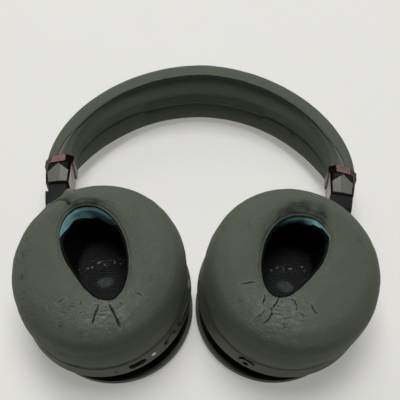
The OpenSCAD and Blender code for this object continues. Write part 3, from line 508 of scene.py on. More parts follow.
def mouth_edge(side, f, grow=0.0):
    """The opening's lip at angles f, grown by grow millimetres: stretched and pulled out of shape."""
    half = bpy.context.scene.headset_sizes.ear_half_width / MM
    middle = ear_edge(np.array([0.0, np.pi]), -half).mean(0)
    wide, stretch, line, pull, way, uneven = LIP_FORM[side]
    factor = wide + stretch * np.cos(2 * (f - np.radians(line))) + pull * np.cos(f - np.radians(way))
    factor = factor + uneven * np.sin(3 * f)
    return middle + (ear_edge(f, grow) - middle) * factor[:, None]


def wall_edge(side, f, z, grow):
    """The inner wall at height z: it follows the lip at its top and the plain opening below."""
    k = np.clip((z - 43.0) / 10.0, 0, 1)
    k = np.broadcast_to(k * k * (3 - 2 * k), f.shape)[:, None]
    return mouth_edge(side, f, grow) * k + ear_edge(f, grow) * (1 - k)


# Samples of each part of a pad's profile: welt and side, shoulder, crown, lip, inner wall
PAD_STEPS = [2, 2, 2, 4, 5, 4, 3] + [3, 3, 4, 5, 7] + [14, 14, 10] + [4, 4, 4, 4] + [3, 3, 3]


def pad_profile(side, f, shrink):
    """Control points of the pad's section at each angle f, in the cup frame."""
    s = bpy.context.scene.headset_sizes
    a, b, h = s.pad_half_width / MM, s.pad_half_length / MM, s.pad_thickness / MM
    r, lip = s.shoulder / MM, s.lip / MM
    edge = np.stack([a * np.cos(f), b * np.sin(f)], axis=-1)
    lean = np.array(LEAN[side])
    inner = mouth_edge(side, f)
    width = np.linalg.norm(inner - edge - lean, axis=-1)
    way = (inner - edge - lean) / width[:, None]
    draw = s.draw / MM
    wide = np.minimum(r, (width - lip - draw) * 0.85)
    rows = [(3.6, 0.1), (2.4, 0.9), (2.9, 2.0), (1.9, 4.2), (0.8, 8.0), (0.3, 13.0), (0.4, 17.0)]
    rows += [(draw + wide * (1 - math.cos(t)), h - r + r * math.sin(t)) for t in np.radians(range(0, 91, 18))]
    span = width - draw - wide - lip
    rows += [(draw + wide + span * 0.33, h + 0.25), (draw + wide + span * 0.7, h + 0.15)]
    rows += [(width - lip + lip * math.sin(t), h - 0.15 - lip + lip * math.cos(t))
             for t in np.radians([0, 22.5, 45, 67.5, 90])]
    base = s.pad_base / MM
    out = []
    for k, (d, z) in enumerate(rows):
        d = np.broadcast_to(d, width.shape) + shrink * (0 if k < 3 else 1) * (1 if k < 13 else 0.0)
        z = z - (shrink if 9 < k < 18 else 0)
        flat = edge + lean * min(z / 20, 1) + way * d[:, None]
        out.append(level(flat, base + z))
    for z, grow in ((base + 25.0, 0.1), (base + 14.0, 0.2), (base + 0.2, 1.0)):
        out.append(level(wall_edge(side, f, z, grow), z))
    return np.stack(out, axis=1)


def pad_angles(count):
    """Angles about the pad, closest together in front of the opening, where it is cracked."""
    x = np.linspace(0, 360, 3601)
    weight = 1 + 1.9 * bell((x - 258 + 180) % 360 - 180, 42)
    total = np.concatenate([[0], np.cumsum((weight[1:] + weight[:-1]) / 2)])
    return np.radians(np.interp(np.arange(count) / count * total[-1], total, x))


# Sections round a pad, in the net that swells and in the finished leather
COARSE = 72
FINE = 400
# How far the net lies inside the leather before it swells
FOAM_INSET = 0.9


def coarse_pad(side):
    """The net that the foam swells."""
    f = np.arange(COARSE) / COARSE * 2 * np.pi
    controls = pad_profile(side, f, FOAM_INSET)
    count = controls.shape[1]
    pts, _ = through(controls, [1] * (count - 1))
    obj = net_mesh(f"swell_{side}", place(side, pts), True, False, side == "left")
    rows = np.arange(COARSE * count).reshape(COARSE, count)
    return obj, rows[:, [0, 1, 2, -3, -2, -1]].ravel(), pts


def ear_pad(side, pushed):
    """Leather pad with its welt, crown, lip, cracks, creases and rubbed places, and painted shade and
    highlights.
    """
    f = pad_angles(FINE)
    base, at = through(pad_profile(side, f, 0.0), PAD_STEPS)
    if pushed is not None:
        inner, _ = through(pad_profile(side, f, FOAM_INSET), PAD_STEPS)
        base = inner + sample(pushed, f / (2 * np.pi) * COARSE, at, True)
    flip = side == "left"
    n = outward(base, True, False)
    x, y, h = base[..., 0], base[..., 1], base[..., 2] - bpy.context.scene.headset_sizes.pad_base / MM
    top = np.clip((h - 24) / 5, 0, 1) * np.clip((at[None, :] - 8) / 2, 0, 1)
    # Soft unevenness of the foam, and the drag lines that lead to the opening
    lift = 0.22 * waves(base, 13, 3.1 if flip else 8.7, 3) * np.clip(h / 6, 0, 1)
    centre = (-9.0, -29.0) if flip else (-7.0, -29.0)
    dry = bell(np.hypot((x - centre[0]) / 1.35, y - centre[1]), 12.0) * top
    jit = waves(base, 4.5, 1.7, 2)
    radial = np.hypot(x + 3, y - 5)
    turn = np.arctan2(y - 5, x + 3)
    folds = np.stack([turn * 30 / 2.6, radial / 0.8, np.full_like(x, 0.3)], axis=-1)
    ridges = waves(folds, 1.0, 4.4, 2)
    lift += dry * (0.42 * ridges + 0.1 * jit)
    side_dry = bell(np.hypot((x - 27) / 1.2, y + 20), 12) if flip else 0
    lift += 0.16 * side_dry * ridges
    crack_and_shade = np.zeros_like(x)
    # Greyer where the dried leather is rubbed, and lighter still on the tops of its ridges: a painted
    # highlight
    rub_and_highlight = dry * (0.25 + 0.75 * np.clip(ridges * 1.6, 0, 1))
    ragged = 0.4 * waves(base, 1.1, 2.9, 2)
    jx, jy = x + 0.35 * jit + ragged, y + 0.35 * waves(base, 3.5, 9.2, 2) + ragged
    for start, heading, run, bend, width, depth in CRACKS[side]:
        line = bent(start, heading, run, bend)
        d = near_line(jx, jy, line)
        tips = np.minimum(*[np.hypot(x - p[0], y - p[1]) for p in (line[0], line[-1])])
        taper = np.clip(0.35 + tips / 2.5, 0.35, 1)
        lift += top * (-depth * bell(d, width) + 0.25 * depth * bell(d - 2.0 * width, width))
        crack_and_shade = np.maximum(crack_and_shade, top * np.clip(2.0 * bell(d, 0.8 * width * taper), 0, 1))
        # Painted highlight along the lifted edges beside each tear
        rub_and_highlight = np.maximum(rub_and_highlight, 0.5 * top * bell(d - 2.2 * width, width))
    web = np.abs(waves(np.stack([x, y, x * 0], axis=-1), 2.6, 6.3, 2))
    for (cx, cy), size in CREASES[side]:
        thin = bell(web, 0.07) * bell(np.hypot(x - cx, y - cy), size * 0.8)
        crack_and_shade = np.maximum(crack_and_shade, top * np.clip(thin * 1.1, 0, 0.9))
        lift -= top * 0.16 * thin
    for line, width in SIDE_TEARS[side]:
        deg = (np.degrees(np.arctan2(y, x)) + 180) % 360 - 180
        d = near_line(deg * 0.8 + jit * 0.6, h + jit * 0.4, [(a * 0.8, b) for a, b in line])
        low = np.clip((at[None, :] < 8) * 1.0, 0, 1)
        crack_and_shade = np.maximum(crack_and_shade, low * np.clip(1.3 * bell(d, width * 0.6), 0, 1))
        lift -= low * 0.5 * bell(d, width)
    soil_and_shade = np.zeros_like(x)
    # Painted shade along the lip at the back of the opening, next to the lining
    back = np.clip(y / 6, 0, 1) * np.clip((at[None, :] - 13) / 2, 0, 1) * np.clip((22 - at[None, :]), 0, 1)
    soil_and_shade += (0.4 if flip else 0.65) * back * bell(np.hypot(x + 3, (y - 29) * 0.6), 13)
    if flip:
        # Fold that the swivel has pressed up beside the band's end, open along its inner side
        high = np.clip((at[None, :] - 7.5) / 1.5, 0, 1)
        crest = near_line(jx, jy, bent((22.5, 39.5), 110, 19, 140))
        slit = near_line(jx, jy, bent((20, 38), 150, 12.5, 100))
        lift += high * (2.0 * bell(crest, 2.0) - 1.7 * bell(slit, 0.75))
        # Dark along the slit where the fold is torn open, also painted shade under the fold; a painted
        # highlight on its crest
        crack_and_shade = np.maximum(crack_and_shade, high * np.clip(1.8 * bell(slit, 0.55), 0, 1))
        rub_and_highlight = np.maximum(rub_and_highlight, 0.7 * high * bell(crest, 1.1))
        # Darker patches beside the fold and behind the opening
        soil_and_shade += 0.9 * bell(np.hypot((x - 6.5) / 1.3, y - 32.5), 2.6) * top
        soil_and_shade += 0.5 * bell(np.hypot((x + 2.5) / 2.2, y - 33.0), 2.4) * top
    else:
        # Darker patches round the back and the left side of the opening
        soil_and_shade += 1.7 * bell(np.hypot((x + 4.0) / 2.1, (y - 31.0 - 0.35 * x - 1.4)), 3.0) * top
        soil_and_shade += 1.4 * bell(np.hypot(x - 7.8, (y - 28.5) / 2.0), 3.0) * top
        soil_and_shade += 0.5 * bell(np.hypot(x + 13.0, (y - 24) / 1.6), 2.8) * top
        soil_and_shade += 0.3 * bell(np.hypot((x + 19.0) * 1.4, (y - 8) / 4.0), 3.2) * top
        fold = near_line(jx, jy, bent((8, 39), -90, 9))
        lift -= top * 0.4 * bell(fold, 0.6)
    # Piping along the seam: a painted highlight on the piping, and painted shade in the seam below it
    rub_and_highlight = np.maximum(rub_and_highlight, 0.8 * bell(at - 1.0, 0.4)[None, :])
    crack_and_shade = np.maximum(crack_and_shade, bell(at - 0.1, 0.35)[None, :])
    # Torn edge of the lip
    lip = np.clip((at[None, :] - 14.5) / 2, 0, 1) * np.clip((20 - at[None, :]) / 3, 0, 1)
    lift += 0.5 * waves(base, 3.0, 5.5, 2) * lip * (bell(y + 20, 6) + 0.25)
    final = base + n * lift[..., None] * (-1 if (n[0, 12, 0] < 0) else 1)
    obj = net_mesh(f"ear_pad_leather_{side}", place(side, final), True, True, flip)
    paint(obj, "crack_and_shade", crack_and_shade)
    paint(obj, "soil_and_shade", np.clip(soil_and_shade, 0, 1))
    paint(obj, "rub_and_highlight", np.clip(rub_and_highlight, 0, 1))
    return obj


# ---- Band ---------------------------------------------------------------------
SWIVEL_INSET = 8.0


def arch(angle, inside):
    """Point of the arch at an angle from its crown, inside millimetres from the outer face."""
    s = bpy.context.scene.headset_sizes
    a, b, t = s.arch_half_width / MM, s.arch_depth / MM, s.band_thickness / MM
    sx = np.sign(np.sin(angle)) * np.abs(np.sin(angle)) ** (2 / 1.86)
    cy = np.cos(angle) ** (2 / 1.86)
    outer = np.stack([a * sx, b * cy], axis=-1)
    inner = np.stack([(a - t) * sx, (b - t) * cy], axis=-1)
    return outer + (inner - outer) * (inside / t)[..., None]


def band_surface(angles, controls, steps):
    """Sweeps sections [angle][point](inside, height) along the arch. The last stretch leans, so
    that both ends are cut at a slant."""
    s = bpy.context.scene.headset_sizes
    sec, at = through(controls, steps)
    inside = sec[..., 0]
    last = s.leather_end / MM - 0.3 + (inside - SWIVEL_INSET) * math.tan(s.leather_slant)
    last = np.arccos((last / (s.arch_depth / MM - inside)) ** 0.93)
    part = angles / angles[-1]
    turn = angles[:, None] + (last - angles[-1]) * (np.sign(part) * np.abs(part) ** 8)[:, None]
    return np.concatenate([arch(turn, inside), sec[..., 1:]], axis=-1), at


def band_middle():
    """Where the arch's widest point and the band's middle height are, in millimetres."""
    s = bpy.context.scene.headset_sizes
    low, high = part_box("band_cover")
    return np.array([0, (high.y - s.arch_depth) / MM, (high.z + low.z) / 2 / MM])


def band_angles(count):
    s = bpy.context.scene.headset_sizes
    end = math.acos((s.leather_end / s.arch_depth) ** 0.93)
    return np.linspace(-end, end, count), end


def half_width(angles, end):
    s = bpy.context.scene.headset_sizes
    return (s.end_width + (s.crown_width - s.end_width) * np.cos(angles * math.pi / 2 / end) ** 1.2) / MM / 2


def seam_depth(angles, end):
    """The seam between cover and cushion: closed over the crown and open towards the ends."""
    return np.clip((np.abs(angles) / end - 0.4) / 0.15, 0, 1)


def seam_inset(angles, end):
    """How far the seam lies from the outer face: it draws outwards near the band's ends."""
    k = np.clip((np.abs(angles) / end - 0.72) / 0.28, 0, 1)
    return 8.6 - 2.6 * k * k * (3 - 2 * k)


def cushion_controls(angles, end):
    """Section of the cushion: a roll along its upper edge, then a full pad that a sewn flap
    parts at its middle, and a second pad that swells towards the wearer."""
    sizes = bpy.context.scene.headset_sizes
    w = half_width(angles, end)
    u = w / (sizes.crown_width / MM / 2)
    col = np.ones_like(angles)
    seam = seam_depth(angles, end)
    x = np.abs(arch(angles, np.full_like(angles, 14.0))[:, 0])
    flap = np.clip((sizes.channel_half_length / MM - x) / 2.5, 0, 1)
    near = np.abs(angles) / end
    full = np.clip((1 - near) / 0.25, 0.15, 1)
    s = seam_inset(angles, end)
    q = (s - 6) / 2.6
    e = np.clip((near - 0.4) / 0.35, 0, 1)
    g = 1.1 + 1.5 * bell(near - 0.6, 0.25) - 1.3 * np.clip(near - 0.85, 0, 1) / 0.15
    rows = [(s, w - 0.07 - 1.5 * seam), (s + 0.22, w - 0.06 - 0.3 * seam), (8.2 + 0.7 * q, w - 0.08),
            (10.0 - 0.9 * q, w - 0.5), (10.9 - 1.6 * q + e, w - 1.8),
            (11.0 - 1.5 * q + 0.8 * (1 - u) + 1.6 * e, w - 3.8 * u),
            (11.7 - 1.4 * q + 1.6 * e, w - 5.6 * u), (13.1 - 1.0 * q + 0.8 * e, w - 7.8 * u),
            (14.4 - 0.3 * q, 8.8 * u), (14.9 - 0.5 * e, 7.2 * u), (14.9 - 0.5 * e - 1.0 * flap, 5.7 * u),
            (14.5 - 0.3 * flap, 4.2 * u), (14.3 + 0.5 * flap, 1.2 * u), (14.2 + 1.2 * flap, -1.5 * u),
            (14.2 - 1.4 * flap + 0.3 * g, -2.4 * u), (14.3 - 0.5 * flap + 0.6 * g, -4.8 * u),
            (14.25 + 0.7 * full + 0.9 * g, -8.5 * u), (14.2 + 1.2 * full + 1.1 * g, -12.0 * u),
            (14.0 + 1.0 * full + 1.1 * g, 4.0 - w), (13.2 + 0.5 * full + g, 1.9 - w),
            (11.9 + 0.7 * g, 0.6 - w), (10.0 * col, 0.1 - w),
            (s + 0.22, 0.06 + 0.3 * seam - w), (s, 0.07 + 1.5 * seam - w)]
    return np.stack([np.stack(p, axis=-1) for p in rows], axis=1)


def cover_controls(angles, end):
    w = half_width(angles, end)
    col = np.ones_like(angles)
    seam = seam_depth(angles, end)
    s = seam_inset(angles, end)
    upper = [(s, w - 0.06 - 1.5 * seam), (s - 0.15, w - 0.05 - 0.3 * seam), (4.6 * col, w - 0.05),
             (2.6 * col, w - 0.2), (1.0 * col, w - 1.6), (0.25 * col, w - 4.0), (0.0 * col, w * 0.5),
             (0.0 * col, w * 0.15)]
    upper = np.stack([np.stack(p, axis=-1) for p in upper], axis=1)
    return np.concatenate([upper, upper[:, ::-1] * [1, -1]], axis=1)


def finish_band(name, pts, lift, flip, rub_and_highlight=None, crack_and_shade=None):
    n = outward(pts, False, flip)
    middle = band_middle()
    obj = net_mesh(name, (pts + n * lift[..., None] + middle) * MM, False, False, flip)
    for key, values in (("crack_and_shade", crack_and_shade), ("rub_and_highlight", rub_and_highlight), ("soil_and_shade", None)):
        paint(obj, key, np.zeros(pts.shape[:2]) if values is None else values)
    return obj


# ---- Operators ----------------------------------------------------------------
def made(obj, material, body):
    """Gives a finished piece its material and body."""
    obj.data.materials.clear()
    obj.data.materials.append(material)
    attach(obj, body)
    return obj


class HEADSET_OT_stage(bpy.types.Operator):
    """Makes the table, the lamps, the sky and the camera"""
    bl_idname = "headset.stage"
    bl_label = "Table, light and camera"

    def execute(self, context):
        c = context.scene.headset_colours
        scene = context.scene
        scene.view_settings.view_transform = "Standard"
        # The table curves up behind the headset, far outside the picture
        ys = [-1.6, -0.6, 0.9, 1.25, 1.5, 1.65, 1.7]
        zs = [0, 0, 0, 0.04, 0.16, 0.42, 1.0]
        pts = np.array([[(x, y, z) for y, z in zip(ys, zs)] for x in (-1.8, -0.6, 0.6, 1.8)])
        table = net_mesh("table", pts, False, False, False)
        mat, tree, shader, spot = new_material("Painted board")
        dust = add(tree, "ShaderNodeTexNoise", {"Vector": spot, "Scale": 14.0, "Detail": 5.0}).outputs["Fac"]
        dust = soften(tree, dust, 0.35, 0.65, 0.0, 1.0)
        tone = mixed(tree, dust, shade(c.table, 0.985), shade(c.table, 1.0))
        # What the eye and mirrors see of it is brighter than the light that it throws back
        ray = add(tree, "ShaderNodeLightPath").outputs
        seen = ray["Is Camera Ray"]
        for other in ("Is Glossy Ray", "Is Transmission Ray"):
            seen = add(tree, "ShaderNodeMath", {0: seen, 1: ray[other]}, operation="MAXIMUM").outputs[0]
        base = mixed(tree, seen, shade(c.table, 0.8), shade(c.table, 0.57))
        glow = add(tree, "ShaderNodeMath", {0: seen, 1: 0.34}, operation="MULTIPLY").outputs[0]
        feed(tree, shader, {"Base Color": base, "Emission Color": tone, "Emission Strength": glow,
                            "Roughness": 0.7, "Specular IOR Level": 0.2})
        table.data.materials.append(mat)
        world = bpy.data.worlds.new("Soft room")
        world.use_nodes = True
        sky = world.node_tree.nodes["Background"]
        feed(world.node_tree, sky, {"Color": linear("#f4f4f2"), "Strength": 0.07})
        scene.world = world
        for name, at, aim, size, power in (
                ("Window", (-0.9, 2.4, 2.2), (0, 0, 0), 1.8, 25.0),
                ("Ceiling", (0.0, 0.6, 2.5), (0, 0, 0), 1.2, 53.0)):
            lamp = bpy.data.lights.new(name, "AREA")
            lamp.energy = power
            lamp.size = size
            obj = show(bpy.data.objects.new(name, lamp))
            obj.location = at
            obj.rotation_euler = (Vector(aim) - Vector(at)).to_track_quat("-Z", "Y").to_euler()
        lens = bpy.data.cameras.new("Camera")
        lens.lens = 81.0
        lens.clip_start = 0.01
        camera = show(bpy.data.objects.new("Camera", lens))
        camera.location = (0.0115, -0.22208, 0.4591)
        view = Vector((0, 0.02172, 0)) - camera.location
        camera.rotation_euler = view.to_track_quat("-Z", "Y").to_euler()
        scene.camera = camera
        return {"FINISHED"}


class HEADSET_OT_finishes(bpy.types.Operator):
    """Gives the plastic, metal and inner parts their finishes"""
    bl_idname = "headset.finishes"
    bl_label = "Plastic and metal finishes"

    def execute(self, context):
        c = context.scene.headset_colours
        olive = moulded("Moulded ABS, olive", c.olive, 0.55, 0.25)
        dark = moulded("Moulded ABS, dark olive", c.dark_olive, 0.5, 0.25)
        cheek = moulded("Satin ABS, olive", c.cheek, 0.5, 0.1)
        # Painted shade: the arm and slider are made near black for the shade that they lie in
        painted_shade_black = moulded("Moulded nylon, near black, painted shade", linear("#060606"), 0.85, 0.1)
        black = moulded("Moulded nylon, black", linear("#1a1b1c"), 0.5, 0.3)
        # Painted glow: a faint emission brightens the status ring, which is no lamp
        painted_glow_white = moulded("Light pipe, white acrylic, painted glow", linear("#f4f5f0"), 0.35, 0.05)
        feed(painted_glow_white.node_tree, painted_glow_white.node_tree.nodes["Principled BSDF"],
             {"Emission Color": linear("#ffffff"), "Emission Strength": 0.06})
        board = moulded("Solder mask, green", linear("#2f5a3c"), 0.35, 0.2)
        wrap = moulded("Battery wrap, grey film", linear("#7d8184"), 0.4, 0.1)
        film = moulded("Pressed film, dark grey", linear("#3b3f3c"), 0.3, 0.1)
        jacket = moulded("Cable jacket, black elastomer", linear("#1b1c1d"), 0.6, 0.3)
        bronze = metal("Plated zinc, bronze", c.bronze, 0.2, 0.12)
        # The end blocks carry a painted dark reflection on their flat faces
        block = metal("Plated zinc, bronze, with a painted dark reflection", c.bronze, 0.2, 0.12, painted_dark_reflection=True)
        steel = metal("Rolled steel", linear("#9a9ca0"), 0.3, 0.4)
        finishes = {
            "band_frame": dark, "band_spring": steel, "band_cable": jacket, "detent_springs": steel,
            "slider_track": dark, "collar": bronze, "end_block": block, "block_cheeks": cheek, "slider": painted_shade_black,
            "swivel_clip": steel, "arm": painted_shade_black, "outer_disc": dark, "disc_screws": steel, "gimbal_ring": steel,
            "gimbal_pins": steel, "back_cover": dark, "housing": olive, "baffle": black, "cup_screws": steel,
            "driver_basket": black, "driver_magnet": steel, "diaphragm": film, "pad_ring": black,
            "main_board": board, "usb_c_port": steel, "power_slider": olive, "push_button": olive,
            "volume_rocker": dark, "status_ring": painted_glow_white, "microphones_left": steel, "battery": wrap,
            "side_board": board, "jack_socket": dark}
        soft = ("band_cover", "band_cushion", "ear_mesh", "ear_liner", "ear_pad")
        for name, obj in frame["nodes"].items():
            if name.startswith(soft):
                continue
            kind = name if name in finishes else name.rsplit("_", 1)[0]
            obj.data.materials.clear()
            obj.data.materials.append(finishes[kind])
        return {"FINISHED"}


class HEADSET_OT_pads(bpy.types.Operator):
    """Makes the two leather ear pads over their foam"""
    bl_idname = "headset.pads"
    bl_label = "Ear pads"

    def execute(self, context):
        skin = leather("Coated leather, olive, worn", context.scene.headset_colours.pad_leather)
        pushed = {side: None for side in SIDES}
        nets = [coarse_pad(side) for side in SIDES]
        rest = swell([(obj, held) for obj, held, _ in nets], 4.0)
        for side, (_, _, pts), co in zip(SIDES, nets, rest):
            origin, axes = cup_axes(side)
            local = ((co - origin) @ axes.T / MM).reshape(pts.shape)
            pushed[side] = capped(local - pts)
        for side in SIDES:
            pad = made(ear_pad(side, pushed[side]), skin, f"cup_{side}")
            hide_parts(f"ear_pad_{side}")
        return {"FINISHED"}


LIP_UNDERSIDE = 54.6


def lining_edge(side, f):
    """Height of the line along which the teal lining ends and the black knit begins, which is low
    at the back of the opening and under the lip elsewhere, and how far it counts as the back."""
    deg = (np.degrees(f) + 90) % 360 - 90
    if side == "left":
        low = 48.0 + 0.10 * np.clip(98 - deg, 0, 90) + 0.35 * np.sin(7 * f) + 0.2 * np.sin(17 * f + 1)
        back = np.clip((deg - 24) / 28, 0, 1) * np.clip((157 - deg) / 26, 0, 1)
    else:
        low = 48.9 + 0.19 * np.maximum(97 - deg, 0) + 0.13 * np.minimum(97 - deg, 0)
        low = low + 0.3 * np.sin(9 * f + 2) + 0.2 * np.sin(21 * f)
        back = np.clip((deg - 28) / 26, 0, 1) * np.clip((154 - deg) / 22, 0, 1)
    back = back * back * (3 - 2 * back)
    return LIP_UNDERSIDE + (low - LIP_UNDERSIDE) * back, back


class HEADSET_OT_linings(bpy.types.Operator):
    """Makes the teal linings and the black knit trays of the ear openings"""
    bl_idname = "headset.linings"
    bl_label = "Ear linings"

    def execute(self, context):
        c = context.scene.headset_colours
        teal = cloth("Brushed knit, teal", c.teal, 0.0007, 0.95, 0.05)
        black = knit_tray("Knitted net, black", c.net)
        f = np.arange(144) / 144 * 2 * np.pi
        for side in SIDES:
            flip = side == "left"
            low, back = lining_edge(side, f)
            rows = []
            for k in np.linspace(0, 1, 12):
                z = low + (LIP_UNDERSIDE + 0.2 - low) * k
                curl = 0.2 * np.sin(11 * f + 2 * k) * (1 - k)
                grow = -0.5 - 1.9 * (1 - k) + 1.3 * max(0, k - 0.8) / 0.2 + curl
                grow = grow + 3.2 * (1 - back)
                rows.append(level(wall_edge(side, f, z, grow), z))
            pts = np.stack(rows, axis=1)
            lining = net_mesh(f"ear_lining_{side}", place(side, pts), True, False, not flip)
            thick = lining.modifiers.new("Cloth thickness", "SOLIDIFY")
            thick.thickness = 0.5 * MM
            thick.offset = 1
            made(lining, teal, f"cup_{side}")
            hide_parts(f"ear_liner_{side}")
            # The tray hangs from a rolled hem inside the lining and rounds into its floor
            rows = []
            for d, drop in ((-1.9, 0.4), (-2.7, 0.4), (-3.2, -0.4), (-3.0, -1.6), (-2.3, -2.4), (-1.6, -4.0)):
                z = low + drop
                rows.append(level(wall_edge(side, f, z, d + 1.6 * (1 - back)), z))
            for d, k in ((-1.1, 0.35), (-1.3, 0.75), (-1.6, 1.0)):
                z = low - 4.0 + (32.0 - low) * k
                rows.append(level(wall_edge(side, f, z, d), z))
            for d, z in ((-2.3, 26.2), (-3.6, 25.2)):
                rows.append(level(ear_edge(f, d), z))
            last = rows[-1]
            hub = np.array([-1.0, 2.0, 25.0])
            for k in np.linspace(0.94, 0.0, 34):
                ring = hub + (last - hub) * [k, k, 1]
                d = np.hypot((ring[:, 0] + 0.8), (ring[:, 1] - 1.4))
                ring[:, 2] = 24.95 + 0.55 * bell(d, 7.5) + 0.35 * bell(d - 12.5, 1.6)
                rows.append(ring)
            pts = np.stack(rows, axis=1)
            pts[..., 2] += 0.16 * waves(pts, 5.0, 2.2, 3) * np.clip((27 - pts[..., 2]), 0, 1)
            tray = net_mesh(f"ear_net_tray_{side}", place(side, pts), True, False, not flip)
            x, y = pts[..., 0], pts[..., 1]
            at = (-1.4, 2.2) if flip else (-0.1, 0.1)
            on_floor = pts[..., 2] < 26
            glimpse = 3.4 - 3 * np.hypot((x - at[0]) / 4.4, (y - at[1]) / 3.0)
            paint(tray, "sheer", on_floor * np.clip(glimpse, 0, 1))
            # Line along which the knit is worn and painted glints of the driver's edge show
            line = [(11, 11), (5, 13), (-10, 13)] if flip else [(-9, 8), (0, 11), (9, 13)]
            rolled = np.isin(np.arange(pts.shape[1]), (3, 4, 5)) * 1.0
            paint(tray, "hem", rolled[None, :] * (back * (0.3 if flip else 0.9))[:, None])
            paint(tray, "worn", on_floor * np.clip(bell(near_line(x, y, line), 1.5), 0, 1))
            bm = bmesh.new()
            bm.from_mesh(tray.data)
            bmesh.ops.remove_doubles(bm, verts=bm.verts, dist=1e-6)
            bm.to_mesh(tray.data)
            bm.free()
            made(tray, black, f"cup_{side}")
            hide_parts(f"ear_mesh_{side}")
        return {"FINISHED"}


def net_tree():
    """Node tree that lays a net of thread rings over a surface, offset from row to row."""
    tree = bpy.data.node_groups.new("Knitted net", "GeometryNodeTree")
    for name, kind in (("Surface", "NodeSocketGeometry"), ("Pitch", "NodeSocketFloat"),
                       ("Thread radius", "NodeSocketFloat"), ("Material", "NodeSocketMaterial")):
        tree.interface.new_socket(name, in_out="INPUT", socket_type=kind)
    tree.interface.new_socket("Net", in_out="OUTPUT", socket_type="NodeSocketGeometry")
    given = add(tree, "NodeGroupInput").outputs
    pitch = given["Pitch"]
    box = add(tree, "GeometryNodeBoundBox", {"Geometry": given["Surface"]}).outputs
    size = add(tree, "ShaderNodeVectorMath", {0: box["Max"], 1: box["Min"]}, operation="SUBTRACT")
    mid = add(tree, "ShaderNodeVectorMath", {0: box["Max"], 1: box["Min"]}, operation="ADD")
    mid = add(tree, "ShaderNodeVectorMath", {0: mid.outputs[0], 1: (0.5, 0.5, 0.5)}, operation="MULTIPLY")
    xyz = add(tree, "ShaderNodeSeparateXYZ", {0: size.outputs[0]}).outputs
    row = add(tree, "ShaderNodeMath", {0: pitch, 1: 0.866}, operation="MULTIPLY").outputs[0]
    nx = add(tree, "ShaderNodeMath", {0: xyz["X"], 1: pitch}, operation="DIVIDE").outputs[0]
    ny = add(tree, "ShaderNodeMath", {0: xyz["Y"], 1: row}, operation="DIVIDE").outputs[0]
    nx = add(tree, "ShaderNodeMath", {0: nx}, operation="ROUND").outputs[0]
    ny = add(tree, "ShaderNodeMath", {0: ny}, operation="ROUND").outputs[0]
    sx = add(tree, "ShaderNodeMath", {0: nx, 1: pitch}, operation="MULTIPLY").outputs[0]
    sy = add(tree, "ShaderNodeMath", {0: ny, 1: row}, operation="MULTIPLY").outputs[0]
    vx = add(tree, "ShaderNodeMath", {0: nx, 1: 1.0}, operation="ADD").outputs[0]
    vy = add(tree, "ShaderNodeMath", {0: ny, 1: 1.0}, operation="ADD").outputs[0]
    grid = add(tree, "GeometryNodeMeshGrid", {"Size X": sx, "Size Y": sy, "Vertices X": vx, "Vertices Y": vy})
    spot = add(tree, "GeometryNodeInputPosition").outputs[0]
    y = add(tree, "ShaderNodeSeparateXYZ", {0: spot}).outputs["Y"]
    which = add(tree, "ShaderNodeMath", {0: y, 1: row}, operation="DIVIDE").outputs[0]
    which = add(tree, "ShaderNodeMath", {0: which}, operation="ROUND").outputs[0]
    odd = add(tree, "ShaderNodeMath", {0: which, 1: 2.0}, operation="FLOORED_MODULO").outputs[0]
    step = add(tree, "ShaderNodeMath", {0: odd, 1: pitch}, operation="MULTIPLY").outputs[0]
    half = add(tree, "ShaderNodeMath", {0: step, 1: 0.5}, operation="MULTIPLY").outputs[0]
    shift = add(tree, "ShaderNodeCombineXYZ", {"X": half, "Z": 0.02})
    shift = add(tree, "ShaderNodeVectorMath", {0: shift.outputs[0], 1: mid.outputs[0]}, operation="ADD")
    moved = add(tree, "GeometryNodeSetPosition", {"Geometry": grid.outputs["Mesh"],
                                                  "Offset": shift.outputs[0]})
    dots = add(tree, "GeometryNodeMeshToPoints", {"Mesh": moved.outputs[0]})
    ray = add(tree, "GeometryNodeRaycast", {"Target Geometry": given["Surface"], "Source Position": spot,
                                            "Ray Direction": (0.0, 0.0, -1.0), "Ray Length": 0.1})
    missed = add(tree, "FunctionNodeBooleanMath", {0: ray.outputs["Is Hit"]}, operation="NOT")
    kept = add(tree, "GeometryNodeDeleteGeometry", {"Geometry": dots.outputs[0],
                                                    "Selection": missed.outputs[0]})
    laid = add(tree, "GeometryNodeSetPosition", {"Geometry": kept.outputs[0],
                                                 "Position": ray.outputs["Hit Position"]})
    reach = add(tree, "ShaderNodeMath", {0: pitch, 1: 0.47}, operation="MULTIPLY").outputs[0]
    loop = add(tree, "GeometryNodeCurvePrimitiveCircle", {"Resolution": 6, "Radius": reach})
    strand = add(tree, "GeometryNodeCurvePrimitiveCircle", {"Resolution": 4,
                                                            "Radius": given["Thread radius"]})
    ring = add(tree, "GeometryNodeCurveToMesh", {"Curve": loop.outputs[0],
                                                 "Profile Curve": strand.outputs[0]})
    rings = add(tree, "GeometryNodeInstanceOnPoints", {"Points": laid.outputs[0],
                                                       "Instance": ring.outputs[0]})
    real = add(tree, "GeometryNodeRealizeInstances", {"Geometry": rings.outputs[0]})
    done = add(tree, "GeometryNodeSetMaterial", {"Geometry": real.outputs[0], "Material": given["Material"]})
    add(tree, "NodeGroupOutput", {"Net": done.outputs[0]})
    return tree


